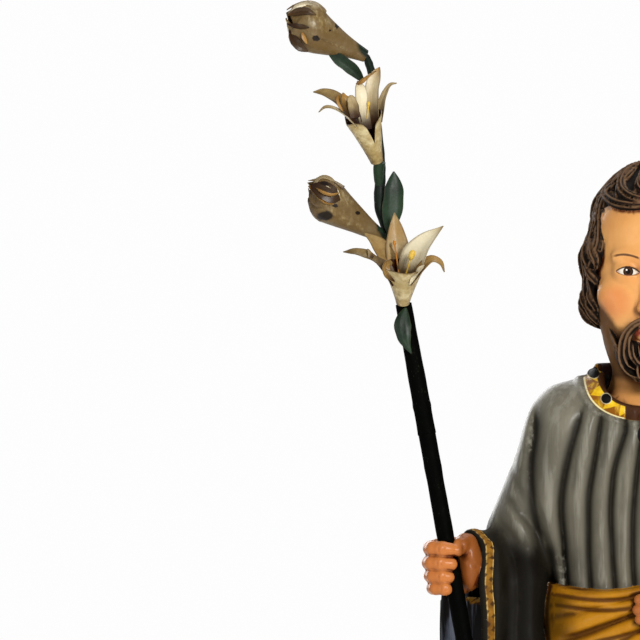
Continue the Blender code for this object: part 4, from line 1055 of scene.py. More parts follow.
def paint_marks(ob, hair, hair_lo, hair_h):
    """Distances that the paint follows, kept on the points of the mesh."""
    mesh = ob.data
    n = len(mesh.vertices)
    co = np.empty(n * 3, F)
    mesh.vertices.foreach_get("co", co)
    co = co.reshape(-1, 3).astype(float) * 1000
    normal = np.empty(n * 3, F)
    mesh.vertex_normals.foreach_get("vector", normal)
    normal = normal.reshape(-1, 3).astype(float)
    p = tuple(co[:, i].astype(F) for i in range(3))
    x, y, z = p
    cloth = tunic(p)
    solid_r, hollow_r, behind_r, run_r, outer_r = right_sleeve(p)
    solid_l, hollow_l, behind_l, run_l, outer_l = left_sleeve(p)
    arm_r = np.where((x < -20) & (z > 440) & (z < 700), smax(solid_r, -hollow_r, 1.2), 30)
    arm_l = np.where((x > 10) & (z > 440) & (z < 700), smax(solid_l, -hollow_l, 1.2), 30)
    fall = np.where((x < -20) & (z > 440) & (z < 645), sleeve_fall(p), 30)
    cloth = np.minimum(np.minimum(np.minimum(cloth, arm_r), arm_l), fall)
    cloak = np.where((z > 60) & (z < 640), mantle(p), 30)
    flesh = np.where(z > 700, face(p), 30)
    flesh = np.minimum(flesh, np.where((x < -88) & (z > 560) & (z < 642), right_hand(p), 30))
    flesh = np.minimum(flesh, np.where((np.abs(x - 30) < 62) & (z > 540) & (z < 618) & (y < -20), left_hand(p), 30))
    flesh = np.minimum(flesh, np.where((z < 90) & (y < 0), feet(p), 30))
    locks = look_up(hair, hair_lo, hair_h, co)
    ground = np.where(z < 60, base(p), 30)
    parts = [np.clip(v, -3, 9) for v in (cloth, cloak, flesh, locks, ground)]
    for i, name in ((1, "cloak"), (2, "skin"), (3, "hair"), (4, "ground")):
        rest = np.minimum.reduce([v for j, v in enumerate(parts) if j != i])
        mark(ob, name, rest - parts[i])
    mark(ob, "whisker", whiskers(x, y, z))
    mark(ob, "fold", np.where(parts[1] < parts[0], mantle_phase(p), tunic_phase(p)))

    # shelter from the light, fine and wide, and how sharply the form stands out
    def shelter(step):
        return np.clip(1 - whole(co + normal * step) / step, 0, 1)
    mark(ob, "groove", 0.5 * shelter(1.5) + 0.5 * shelter(3.0))
    mark(ob, "hollow", 0.5 * shelter(6.0) + 0.5 * shelter(8.5))
    mark(ob, "crest", np.clip(1 + whole(co - normal * 3.0) / 3.0, 0, 1))

    # gold braid: across 0 to 1, inside above zero, and the length along it
    hem = HEM_Z - 3 * np.cos(x / 30)
    trim = np.full(n, -5.0)
    across, run = np.zeros(n), np.zeros(n)
    for behind, outer, length, arm in ((behind_r, outer_r, run_r, arm_r), (behind_l, outer_l, run_l, arm_l)):
        t = np.minimum(np.minimum(behind - BRAID[0], BRAID[1] - behind), np.minimum(outer + 2.6, 1.5 - np.abs(arm)))
        use = t > trim
        trim = np.where(use, t, trim)
        across = np.where(use, (behind - BRAID[0]) / (BRAID[1] - BRAID[0]), across)
        run = np.where(use, length, run)
    ledge = np.minimum(np.minimum(z - 574.0, 579.2 - z), np.minimum(3.5 - np.abs(behind_r - 20.5), -outer_r - 3.0))
    ledge = np.where(x < -96, ledge, -5)
    low = np.minimum(z - hem - 3.5, hem + 9.7 - z)
    for t, a, length in ((ledge, (z - 574.0) / 5.2, x), (low, (z - hem - 3.5) / 6.2, np.arctan2(x, -y) * 88)):
        use = t > trim
        trim = np.where(use, t, trim)
        across = np.where(use, a, across)
        run = np.where(use, length, run)
    mark(ob, "trim", trim)
    mark(ob, "across", across)
    mark(ob, "run", run)
    mark(ob, "lining", np.maximum(np.where((x < 0) & (fall > 1.6), np.minimum(np.minimum(-outer_r - 2.6, behind_r + 3), np.where(z > 580, 45.0, 24.0) - behind_r), -5), np.where(x > 0, np.minimum(-outer_l - 2.6, behind_l + 3), -5)) * (np.minimum(arm_r, arm_l) < 2))
    near_neck = (z > 700) & (cloth < 1.5)
    mark(ob, "neck", np.where(near_neck, -neck_line(x, y, z), -9))
    mark(ob, "hole", np.where(z > 700, neck_hole(x, y, z), 9))
    q = np.abs(x)
    bead = np.full(n, -9.0)
    for bx, bz, r in BEADS:
        bead = np.maximum(bead, np.where(y < 12, r - 0.2 - np.sqrt((q - bx) ** 2 + (z - bz) ** 2), -9))
    bead = np.maximum(bead, np.where(y < 0, 9.4 - np.sqrt(x ** 2 + (z - 706.5) ** 2), -9))
    mark(ob, "bead", bead)
    mark(ob, "bearing", np.arctan2(x, np.where(z > 700, 751 - z, 1)) * 42)


# ============================================================================= paint
def rgb(r, g, b):
    """Linear colour from screen values of 0 to 255."""
    out = []
    for v in (r, g, b):
        v = v / 255
        out.append(v / 12.92 if v <= 0.04045 else ((v + 0.055) / 1.055) ** 2.4)
    return (*out, 1.0)


class Paint:
    """A material whose nodes are made by small calls."""

    def __init__(self, name):
        self.mat = bpy.data.materials.new(name)
        self.mat.use_nodes = True
        self.tree = self.mat.node_tree
        self.tree.nodes.clear()
        self.out = self.tree.nodes.new("ShaderNodeOutputMaterial")
        self.body = self.tree.nodes.new("ShaderNodeBsdfPrincipled")
        self.tree.links.new(self.body.outputs[0], self.out.inputs[0])
        self.place = self.tree.nodes.new("ShaderNodeTexCoord").outputs["Object"]
        split = self.tree.nodes.new("ShaderNodeSeparateXYZ")
        self.tree.links.new(self.place, split.inputs[0])
        self.x, self.y, self.z = (self.math("MULTIPLY", split.outputs[i], 1000.0) for i in range(3))

    def put(self, socket, value):
        if isinstance(value, bpy.types.NodeSocket):
            self.tree.links.new(value, socket)
        else:
            socket.default_value = value

    def set(self, **values):
        for name, value in values.items():
            self.put(self.body.inputs[name.replace("_", " ")], value)

    def math(self, operation, a, b=0.0, clamp=False):
        node = self.tree.nodes.new("ShaderNodeMath")
        node.operation, node.use_clamp = operation, clamp
        self.put(node.inputs[0], a)
        self.put(node.inputs[1], b)
        return node.outputs[0]

    def add(self, a, b, clamp=False):
        return self.math("ADD", a, b, clamp)

    def sub(self, a, b):
        return self.math("SUBTRACT", a, b)

    def mul(self, a, b, clamp=False):
        return self.math("MULTIPLY", a, b, clamp)

    def least(self, a, b):
        return self.math("MINIMUM", a, b)

    def most(self, a, b):
        return self.math("MAXIMUM", a, b)

    def attr(self, name):
        node = self.tree.nodes.new("ShaderNodeAttribute")
        node.attribute_name = name
        return node.outputs["Fac"]

    def ramp(self, value, low, high, a=0.0, b=1.0, kind="SMOOTHSTEP"):
        node = self.tree.nodes.new("ShaderNodeMapRange")
        node.interpolation_type = kind
        for i, v in enumerate((value, low, high, a, b)):
            self.put(node.inputs[i], v)
        return node.outputs[0]

    def noise(self, scale, detail=3.0, roughness=0.55, distortion=0.0, at=None):
        node = self.tree.nodes.new("ShaderNodeTexNoise")
        self.put(node.inputs["Vector"], self.place if at is None else at)
        node.inputs["Scale"].default_value = scale
        node.inputs["Detail"].default_value = detail
        node.inputs["Roughness"].default_value = roughness
        node.inputs["Distortion"].default_value = distortion
        return node.outputs["Fac"]

    def stretched(self, sx, sy, sz):
        node = self.tree.nodes.new("ShaderNodeMapping")
        self.put(node.inputs["Vector"], self.place)
        node.inputs["Scale"].default_value = (sx, sy, sz)
        return node.outputs[0]

    def mix(self, factor, a, b):
        node = self.tree.nodes.new("ShaderNodeMix")
        node.data_type = "RGBA"
        self.put(node.inputs[0], factor)
        self.put(node.inputs[6], a)
        self.put(node.inputs[7], b)
        return node.outputs[2]

    def blend(self, factor, a, b):
        node = self.tree.nodes.new("ShaderNodeMix")
        self.put(node.inputs[0], factor)
        self.put(node.inputs[2], a)
        self.put(node.inputs[3], b)
        return node.outputs[0]

    def spot(self, u, v, cu, cv, ru, rv, soft=0.25):
        """1 inside an ellipse in the plane of two values, 0 outside it."""
        a = self.mul(self.sub(u, cu), 1.0 / ru)
        b = self.mul(self.sub(v, cv), 1.0 / rv)
        return self.ramp(self.add(self.mul(a, a), self.mul(b, b)), 1 + soft, 1 - soft)

    def bump(self, height, strength, distance):
        node = self.tree.nodes.new("ShaderNodeBump")
        node.inputs["Strength"].default_value = strength
        node.inputs["Distance"].default_value = distance
        self.put(node.inputs["Height"], height)
        self.tree.links.new(node.outputs[0], self.body.inputs["Normal"])


def plaster_paint():
    """Oil paint under an aged varnish: brown glaze and painted shade in the hollows, worn crests lightened also as
    painted highlights, gold trim.
    """
    m = Paint("painted_plaster")
    groove, hollow, crest = m.attr("groove"), m.attr("hollow"), m.attr("crest")
    wide, fine, speck = m.noise(22, 4), m.noise(140, 4, 0.6), m.noise(520, 3, 0.7)
    streak = m.noise(1.0, 4, 0.6, at=m.stretched(160, 160, 14))
    q = m.math("ABSOLUTE", m.x)
    shade = m.add(m.mul(groove, 0.9), m.mul(hollow, 0.9))
    vary = m.mul(m.sub(wide, 0.5), 0.5)

    # tunic: warm grey; brown glaze and painted shade darken its folds and hollows and, most of all, the lower sleeves
    fold = m.attr("fold")
    # fold valleys darkened with brown glaze and painted shade
    fold_glaze_and_shade = m.ramp(m.add(fold, m.add(m.mul(m.sub(wide, 0.5), 0.35), m.mul(m.sub(streak, 0.5), 0.25))), 0.80, 0.16)
    # brown glaze and painted shade on the lower sleeve and under the arm
    low_arm_glaze_and_shade = m.mul(m.ramp(m.sub(m.add(m.z, m.mul(m.sub(wide, 0.5), 16)), m.mul(m.most(m.sub(q, 92), 0.0), 0.5)), 638, 608), m.mul(m.ramp(q, 64, 84), m.ramp(m.z, 452, 472)))
    # glaze and painted shade from the hollows, the fold valleys and the lower sleeve
    glaze_and_shade = m.most(m.ramp(m.add(m.add(shade, vary), m.mul(low_arm_glaze_and_shade, 0.5)), 0.42, 1.25), m.mul(fold_glaze_and_shade, 0.93))
    cloth = m.mix(m.ramp(m.add(wide, m.mul(streak, 0.4)), 0.45, 0.95), rgb(127, 122, 105), rgb(99, 95, 82))
    # painted light: the tops of the shoulders are lightened
    lit_shoulder_tops = m.mul(m.mul(m.ramp(q, 44, 60), m.ramp(m.z, 690, 722)), m.ramp(wide, 0.3, 0.6))
    cloth = m.mix(m.mul(lit_shoulder_tops, 0.6), cloth, rgb(164, 158, 138))
    cloth = m.mix(low_arm_glaze_and_shade, cloth, rgb(14, 10, 3))
    cloth = m.mix(glaze_and_shade, cloth, rgb(22, 18, 9))
    # painted highlight: pale streaks along the crests of the pleats
    painted_crest_highlight = m.mul(m.ramp(fold, 0.72, 0.98), m.mul(m.ramp(streak, 0.42, 0.62), m.sub(1.0, low_arm_glaze_and_shade)))
    cloth = m.mix(m.mul(m.mul(painted_crest_highlight, m.ramp(shade, 0.6, 0.2)), 0.6), cloth, rgb(172, 168, 152))
    # worn crests, lightened also as a painted highlight
    cloth = m.mix(m.mul(m.mul(m.ramp(crest, 0.2, 0.6), m.ramp(fine, 0.45, 0.75)), m.sub(1.0, low_arm_glaze_and_shade)), cloth, rgb(172, 168, 152))
    chip = m.mul(m.ramp(speck, 0.71, 0.74), m.ramp(wide, 0.55, 0.66))
    cloth = m.mix(m.mul(chip, 0.7), cloth, rgb(205, 200, 188))

    # lining of the sleeves: near black as painted shade inside the sleeve, darker in its hollows, with painted
    # blue-grey highlight streaks at the mouth of the right sleeve
    lining = m.ramp(m.attr("lining"), -0.2, 0.4)
    cloth = m.mix(lining, cloth, m.mix(m.ramp(m.add(hollow, m.mul(m.sub(wide, 0.5), 0.6)), 0.0, 0.6), m.mix(m.mul(m.ramp(streak, 0.52, 0.66), m.ramp(m.x, -116, -124)), rgb(26, 24, 24), rgb(104, 110, 124)), rgb(7, 6, 6)))

    # braid
    across, run = m.attr("across"), m.attr("run")
    wave = m.math("SINE", m.mul(m.add(m.mul(run, 1 / 8.5), m.mul(across, 0.55)), math.pi))
    cross = m.math("SINE", m.mul(m.add(m.mul(run, 1 / 8.5), m.mul(across, -0.75)), math.pi))
    relief = m.most(m.math("ABSOLUTE", wave), m.math("ABSOLUTE", cross))
    stroke_mask = m.mul(m.ramp(m.add(relief, m.mul(m.sub(fine, 0.5), 0.8)), 0.84, 0.46), 0.85)
    gold = m.mix(m.ramp(fine, 0.35, 0.7), rgb(112, 72, 12), rgb(156, 108, 30))
    gold = m.mix(m.mul(m.ramp(m.math("ABSOLUTE", m.sub(across, 0.5)), 0.30, 0.42), m.ramp(fine, 0.3, 0.6)), gold, rgb(196, 164, 96))
    # dark brown: painted brush strokes, and painted shade in the hollows of the braid
    gold = m.mix(m.most(stroke_mask, m.mul(m.ramp(groove, 0.35, 0.9), 0.7)), gold, rgb(54, 30, 8))
    trim = m.mul(m.ramp(m.attr("trim"), -0.25, 0.25), m.sub(1.0, m.mul(lining, m.ramp(m.z, 575.0, 573.0))))
    cloth = m.mix(trim, cloth, gold)

    # neck band
    neck, hole, bead = m.attr("neck"), m.attr("hole"), m.attr("bead")
    bearing = m.attr("bearing")
    saw = m.math("PINGPONG", m.add(bearing, m.mul(fine, 2.2)), 6.5)
    tooth = m.ramp(m.sub(m.mul(saw, 1.25), m.sub(neck, 4.6)), 0.4, 1.5)
    tooth = m.mul(tooth, m.ramp(streak, 0.25, 0.55))
    yellow = m.mix(m.ramp(fine, 0.35, 0.7), rgb(222, 172, 18), rgb(246, 206, 40))
    # painted shade: the yellow darkens in the hollows of the band
    yellow = m.mix(m.ramp(groove, 0.3, 0.9), yellow, rgb(120, 72, 10))
    yellow = m.mix(tooth, yellow, rgb(140, 84, 14))
    band = m.mul(m.ramp(neck, 2.3, 2.7), m.ramp(m.y, 10, 5))
    cloth = m.mix(band, cloth, yellow)
    line = m.mul(m.ramp(m.math("ABSOLUTE", m.sub(neck, 2.9)), 0.62, 0.3), m.mul(m.ramp(m.y, 10, 5), m.ramp(q, 17, 20)))
    cloth = m.mix(m.mul(line, m.ramp(fine, 0.25, 0.4)), cloth, rgb(238, 224, 170))
    # dark brown: painted shade in the neck opening and inside the standing collar behind the neck, and a brown panel at
    # the front centre
    brown_panel_and_neck_shade = m.most(m.ramp(hole, 2.4, 1.9), m.most(m.mul(m.ramp(m.y, 5, 10), m.ramp(neck, 0.5, 1.5)),
                                              m.mul(m.mul(m.ramp(q, 19.0, 18.0), m.ramp(neck, 2.2, 2.8)), m.ramp(m.y, 0, -5))))
    brown_panel_and_neck_shade = m.mul(brown_panel_and_neck_shade, m.ramp(neck, -2, 0))
    cloth = m.mix(brown_panel_and_neck_shade, cloth, m.mix(fine, rgb(52, 28, 14), rgb(84, 50, 26)))
    cloth = m.mix(m.mul(m.mul(m.ramp(bead, -0.7, -0.2), m.ramp(m.z, 752, 748)), m.ramp(q, 17, 20)), cloth, rgb(206, 198, 168))
    cloth = m.mix(m.ramp(bead, -0.2, 0.3), cloth, rgb(10, 9, 9))

    # mantle: ochre with a brown glaze and painted shade in its hollows and valleys, painted highlights on its crests,
    # painted shade on its side by the sleeve, and white chips on its top edge
    ochre = m.mix(m.ramp(m.add(wide, m.mul(streak, 0.3)), 0.4, 0.9), rgb(186, 126, 18), rgb(148, 94, 8))
    # brown glaze and painted shade in the hollows and fold valleys
    ochre = m.mix(m.most(m.ramp(m.add(m.add(shade, vary), m.mul(m.ramp(fine, 0.5, 0.8), 0.12)), 0.35, 1.15), m.mul(m.ramp(m.add(fold, m.mul(m.sub(wide, 0.5), 0.5)), 0.72, 0.02), 0.9)), ochre, rgb(74, 38, 4))
    # worn crests, lightened also as a painted highlight
    ochre = m.mix(m.mul(m.ramp(crest, 0.25, 0.6), m.ramp(fine, 0.45, 0.8)), ochre, rgb(208, 158, 60))
    # painted shade: the mantle's side beside the right sleeve is darker
    side = m.mul(m.mul(m.ramp(m.x, -52, -70), m.ramp(m.z, 540, 556)), m.mul(m.ramp(m.y, -4, -14), m.ramp(m.z, 585, 580)))
    ochre = m.mix(m.mul(side, 0.62), ochre, rgb(72, 50, 6))
    top = m.mul(m.ramp(crest, 0.42, 0.6), m.mul(m.ramp(speck, 0.52, 0.60), m.ramp(m.z, 583, 586)))
    ochre = m.mix(top, ochre, rgb(226, 216, 196))
    colour = m.mix(m.ramp(m.attr("cloak"), -0.15, 0.15), cloth, ochre)

    # ground of the base: painted shade in its hollows, and a rim lighter on its crests from wear and from painted
    # highlight
    earth = m.mix(m.ramp(wide, 0.4, 0.7), rgb(78, 66, 42), rgb(54, 56, 38))
    earth = m.mix(m.ramp(shade, 0.2, 0.8), earth, rgb(26, 22, 14))
    edge = m.mix(m.ramp(m.add(crest, m.mul(fine, 0.3)), 0.45, 0.75), rgb(92, 66, 30), rgb(150, 116, 58))
    earth = m.mix(m.ramp(m.z, 35.5, 34.0), earth, edge)
    colour = m.mix(m.ramp(m.attr("ground"), -0.2, 0.2), colour, earth)

    # skin
    flesh = m.mix(m.ramp(wide, 0.35, 0.7), rgb(236, 174, 104), rgb(224, 156, 88))
    away = m.add(m.mul(m.mul(m.sub(q, 27), 1 / 15), m.mul(m.sub(q, 27), 1 / 15)), m.mul(m.mul(m.sub(m.z, 808), 1 / 17), m.mul(m.sub(m.z, 808), 1 / 17)))
    blush = m.mul(m.ramp(away, 1.0, 0.0), m.ramp(m.y, -10, -24))
    flesh = m.mix(m.mul(blush, 0.42), flesh, rgb(206, 96, 54))
    hand = m.ramp(m.z, 700, 690)
    flesh = m.mix(m.mul(hand, 0.85), flesh, rgb(192, 108, 48))
    # painted shade: the palm side of the fist is darker
    palm = m.mul(hand, m.mul(m.ramp(m.x, -149, -143), m.ramp(m.x, 0, -20)))
    flesh = m.mix(m.mul(palm, 0.80), flesh, rgb(126, 66, 20))
    # painted shade in the creases and hollows of the skin, stronger on the hands
    flesh = m.mix(m.ramp(m.add(m.mul(groove, m.add(1.1, m.mul(hand, 0.5))), m.mul(hollow, 0.45)), 0.32, 1.15), flesh, rgb(92, 40, 12))
    face_side = m.ramp(m.y, -30, -36)
    lips = m.mul(m.spot(q, m.z, 0, 785.6, 13.6, 5.0, 0.35), m.ramp(m.y, -44, -48))
    flesh = m.mix(m.mul(lips, 0.6), flesh, rgb(168, 72, 54))
    beard = m.ramp(m.add(m.attr("whisker"), m.mul(m.sub(fine, 0.5), 5.0)), -3.5, 4.5)
    bare = m.mul(m.spot(q, m.z, 0, 780, 11.5, 11.5, 0.3), m.ramp(m.y, -44, -48))
    beard = m.mul(beard, m.sub(1.0, bare))
    beard = m.mul(beard, m.ramp(m.z, 744, 752))
    flesh = m.mix(m.mul(beard, 0.86), flesh, rgb(70, 46, 28))
    stipple = m.mul(m.mul(m.spot(q, m.z, 0, 773, 9.5, 6.5, 0.6), m.ramp(speck, 0.5, 0.62)), m.ramp(m.y, -44, -48))
    flesh = m.mix(m.mul(stipple, 0.7), flesh, rgb(88, 60, 38))

    # eyes
    u = m.mul(m.sub(q, 16.6), 1 / 8.9)
    t = m.sub(1.0, m.math("POWER", m.least(m.math("ABSOLUTE", u), 1.4), 2.1))
    over = m.sub(m.add(m.add(831.6, m.mul(t, 3.5)), m.mul(u, 0.4)), m.z)
    under = m.sub(m.z, m.add(m.sub(831.0, m.mul(t, 2.4)), m.mul(u, 0.4)))
    inside = m.least(over, under)
    white = m.mul(m.ramp(inside, -0.1, 0.35), face_side)
    ball_colour = m.mix(m.ramp(m.math("ABSOLUTE", u), 0.55, 1.0), rgb(236, 228, 212), rgb(196, 150, 124))
    flesh = m.mix(white, flesh, ball_colour)
    iris = m.mul(m.spot(q, m.z, 16.4, 831.6, 3.9, 3.9, 0.12), white)
    flesh = m.mix(iris, flesh, m.mix(m.spot(q, m.z, 16.4, 831.6, 2.9, 2.9, 0.5), rgb(30, 16, 9), rgb(74, 42, 22)))
    flesh = m.mix(m.mul(m.spot(q, m.z, 16.4, 831.6, 1.9, 1.9, 0.15), white), flesh, rgb(8, 6, 5))
    # painted highlights: a white glint in each eye
    flesh = m.mix(m.mul(m.spot(m.x, m.z, -17.6, 832.9, 0.7, 0.7, 0.3), white), flesh, rgb(240, 236, 228))
    flesh = m.mix(m.mul(m.spot(m.x, m.z, 15.2, 832.9, 0.7, 0.7, 0.3), white), flesh, rgb(240, 236, 228))
    lash = m.mul(m.mul(m.ramp(m.math("ABSOLUTE", over), 0.85, 0.45), m.ramp(t, -0.12, 0.05)), face_side)
    flesh = m.mix(m.mul(lash, 0.9), flesh, rgb(44, 24, 14))
    rim = m.mul(m.mul(m.ramp(m.math("ABSOLUTE", under), 0.6, 0.25), m.ramp(t, 0.0, 0.15)), face_side)
    flesh = m.mix(m.mul(rim, 0.5), flesh, rgb(128, 62, 38))
    brow_u = m.mul(m.sub(q, 7.5), 1 / 21.5)
    brow_line = m.add(841.6, m.mul(m.math("SINE", m.mul(brow_u, 2.7)), 3.0))
    brow = m.ramp(m.add(m.math("ABSOLUTE", m.sub(m.z, brow_line)), m.mul(m.sub(fine, 0.5), 0.7)), 1.15, 0.5)
    brow = m.mul(m.mul(brow, m.mul(m.ramp(brow_u, -0.02, 0.1), m.ramp(brow_u, 1.02, 0.8))), face_side)
    flesh = m.mix(m.mul(brow, 0.88), flesh, rgb(64, 38, 22))
    nostril = m.mul(m.spot(q, m.z, 3.4, 799.6, 2.1, 1.4, 0.3), m.ramp(m.y, -50, -53))
    flesh = m.mix(m.mul(nostril, 0.8), flesh, rgb(70, 28, 14))
    colour = m.mix(m.ramp(m.attr("skin"), -0.15, 0.15), colour, flesh)

    # hair and beard: painted highlights on the crests of the strands, painted shade in the grooves between them and in
    # the hollows
    locks = m.mix(m.ramp(m.add(wide, m.mul(fine, 0.4)), 0.5, 0.95), rgb(88, 62, 40), rgb(66, 44, 27))
    strand = m.add(m.attr("strand"), m.mul(m.sub(fine, 0.5), 0.35))
    # painted highlight on the crests of the strands
    locks = m.mix(m.mul(m.ramp(strand, 0.35, 0.85), 0.70), locks, rgb(128, 98, 70))
    # painted shade in the hollows and in the grooves between the strands
    locks = m.mix(m.ramp(m.add(m.mul(groove, 1.3), m.mul(hollow, 0.5)), 0.28, 0.95), locks, rgb(18, 9, 3))
    locks = m.mix(m.mul(m.ramp(strand, 0.40, 0.12), 0.92), locks, rgb(14, 7, 3))
    colour = m.mix(m.ramp(m.attr("hair"), -0.12, 0.12), colour, locks)

    on_hair = m.ramp(m.attr("hair"), -0.12, 0.12)
    rough = m.ramp(m.add(fine, m.mul(hollow, 0.5)), 0.2, 1.0, 0.32, 0.58, "LINEAR")
    on_skin = m.ramp(m.attr("skin"), -0.15, 0.15)
    dull = m.most(m.most(m.most(m.most(on_hair, m.mul(on_skin, m.most(iris, beard))), m.ramp(bead, -0.2, 0.3)), m.mul(low_arm_glaze_and_shade, m.sub(1.0, on_skin))), m.mul(m.sub(1.0, on_skin), m.ramp(m.add(shade, fold_glaze_and_shade), 0.4, 1.4)))
    m.set(Base_Color=colour, Roughness=m.add(rough, m.mul(dull, 0.22)))
    m.set(Specular_IOR_Level=0.13)
    m.set(Coat_Weight=m.mul(m.add(0.20, m.mul(on_skin, 0.04)), m.sub(1.0, dull)), Coat_Roughness=0.26)
    m.bump(m.add(m.mul(fine, 0.5), m.add(m.mul(speck, 0.25), m.mul(streak, 0.25))), 0.35, 0.0012)
    return m.mat


def enamel(name, light, dark, rough, edge=None, gloss=0.3):
    """Old enamel on metal: two tones, worn places and fine runs."""
    m = Paint(name)
    wide, fine, speck = m.noise(60, 4), m.noise(260, 4, 0.6), m.noise(900, 2, 0.6)
    colour = m.mix(m.ramp(m.add(wide, m.mul(fine, 0.4)), 0.45, 0.95), dark, light)
    if edge:
        colour = m.mix(m.ramp(m.attr("edge"), 0.78, 1.0), colour, edge)
    chip = m.ramp(m.add(speck, m.mul(wide, 0.5)), 0.98, 1.02)
    colour = m.mix(m.mul(chip, 0.35), colour, rgb(80, 80, 62))
    m.set(Base_Color=colour, Roughness=m.ramp(fine, 0.3, 0.8, rough, rough + 0.2, "LINEAR"), Specular_IOR_Level=gloss)
    m.bump(m.add(m.mul(fine, 0.6), m.mul(speck, 0.2)), 0.25, 0.0008)
    return m.mat


SPOTS = ((-255.6, 1011.2, 2.6, 1.7), (-239.5, 1019.7, 1.5, 2.1), (-244.9, 1017.4, 1.2, 0.8), (-241.0, 881.9, 2.2, 1.4), (-223.3, 876.5, 1.9, 1.6), (-248.7, 874.0, 6.6, 3.7), (-248.7, 898.8, 3.8, 1.6))


def petal_paint():
    """Ivory enamel: golden brown shading, dark brown inside the throat, painted shade on the dark sheets in the bud
    mouths, dark edges and rust spots.
    """
    m = Paint("cream_enamel")
    wide, fine = m.noise(70, 4), m.noise(240, 4, 0.6)
    streak = m.noise(1.0, 3, 0.6, at=m.stretched(420, 420, 60))
    along, inner, edge = m.attr("along"), m.attr("inner"), m.attr("edge")
    ivory = m.mix(m.ramp(m.add(wide, m.mul(fine, 0.5)), 0.5, 0.9), rgb(224, 208, 162), rgb(176, 152, 98))
    shade = m.ramp(m.add(m.attr("tone"), m.add(m.mul(m.sub(fine, 0.5), 0.5), m.mul(m.sub(streak, 0.5), 0.6))), 0.15, 0.85)
    ivory = m.mix(m.mul(shade, 0.88), ivory, rgb(90, 65, 29))
    deep = m.ramp(m.add(along, m.mul(m.sub(wide, 0.5), 0.5)), 0.50, -0.05)
    within = m.mix(deep, m.mix(fine, rgb(180, 156, 106), rgb(132, 104, 54)), rgb(56, 24, 8))
    colour = m.mix(m.ramp(inner, 0.4, 0.6), ivory, within)
    colour = m.mix(m.mul(m.ramp(m.add(m.attr("white"), m.mul(m.sub(streak, 0.5), 0.3)), 0.0, 1.0), 0.85), colour, rgb(242, 232, 200))
    colour = m.mix(m.mul(m.ramp(m.add(m.attr("gold"), m.mul(m.sub(wide, 0.5), 0.5)), 0.1, 1.0), 0.65), colour, rgb(166, 114, 38))
    colour = m.mix(m.mul(m.ramp(edge, 0.55, 0.95), 0.55), colour, rgb(84, 60, 30))
    # dark brown: brown paint on some petals, and painted shade on the sheets in the mouths of the buds
    colour = m.mix(m.mul(m.ramp(m.add(m.attr("dark"), m.mul(m.sub(fine, 0.5), 0.3)), 0.05, 0.95), 0.93), colour, rgb(42, 20, 8))
    colour = m.mix(m.ramp(m.add(m.attr("leafy"), m.mul(m.sub(wide, 0.5), 0.4)), 0.25, 0.55), colour, rgb(14, 30, 18))
    # rust spots where the enamel has fallen off
    front = m.ramp(m.y, 0, -4)
    for x, z, rx, rz in SPOTS:
        spot = m.spot(m.add(m.x, m.mul(m.sub(fine, 0.5), 5.0)), m.add(m.z, m.mul(m.sub(wide, 0.5), 7.0)), x, z, rx, rz, 0.4)
        colour = m.mix(m.mul(m.mul(spot, front), 0.97), colour, rgb(20, 9, 3))
    m.set(Base_Color=colour, Roughness=m.ramp(fine, 0.3, 0.8, 0.30, 0.48, "LINEAR"))
    m.set(Coat_Weight=0.08, Coat_Roughness=0.24, Specular_IOR_Level=0.2)
    m.bump(m.add(m.mul(fine, 0.6), m.mul(wide, 0.3)), 0.3, 0.001)
    return m.mat
# ============================================================================= staff, stem, lilies, leaves
def unit(v):
    v = np.asarray(v, float)
    return v / max(np.linalg.norm(v), 1e-9)


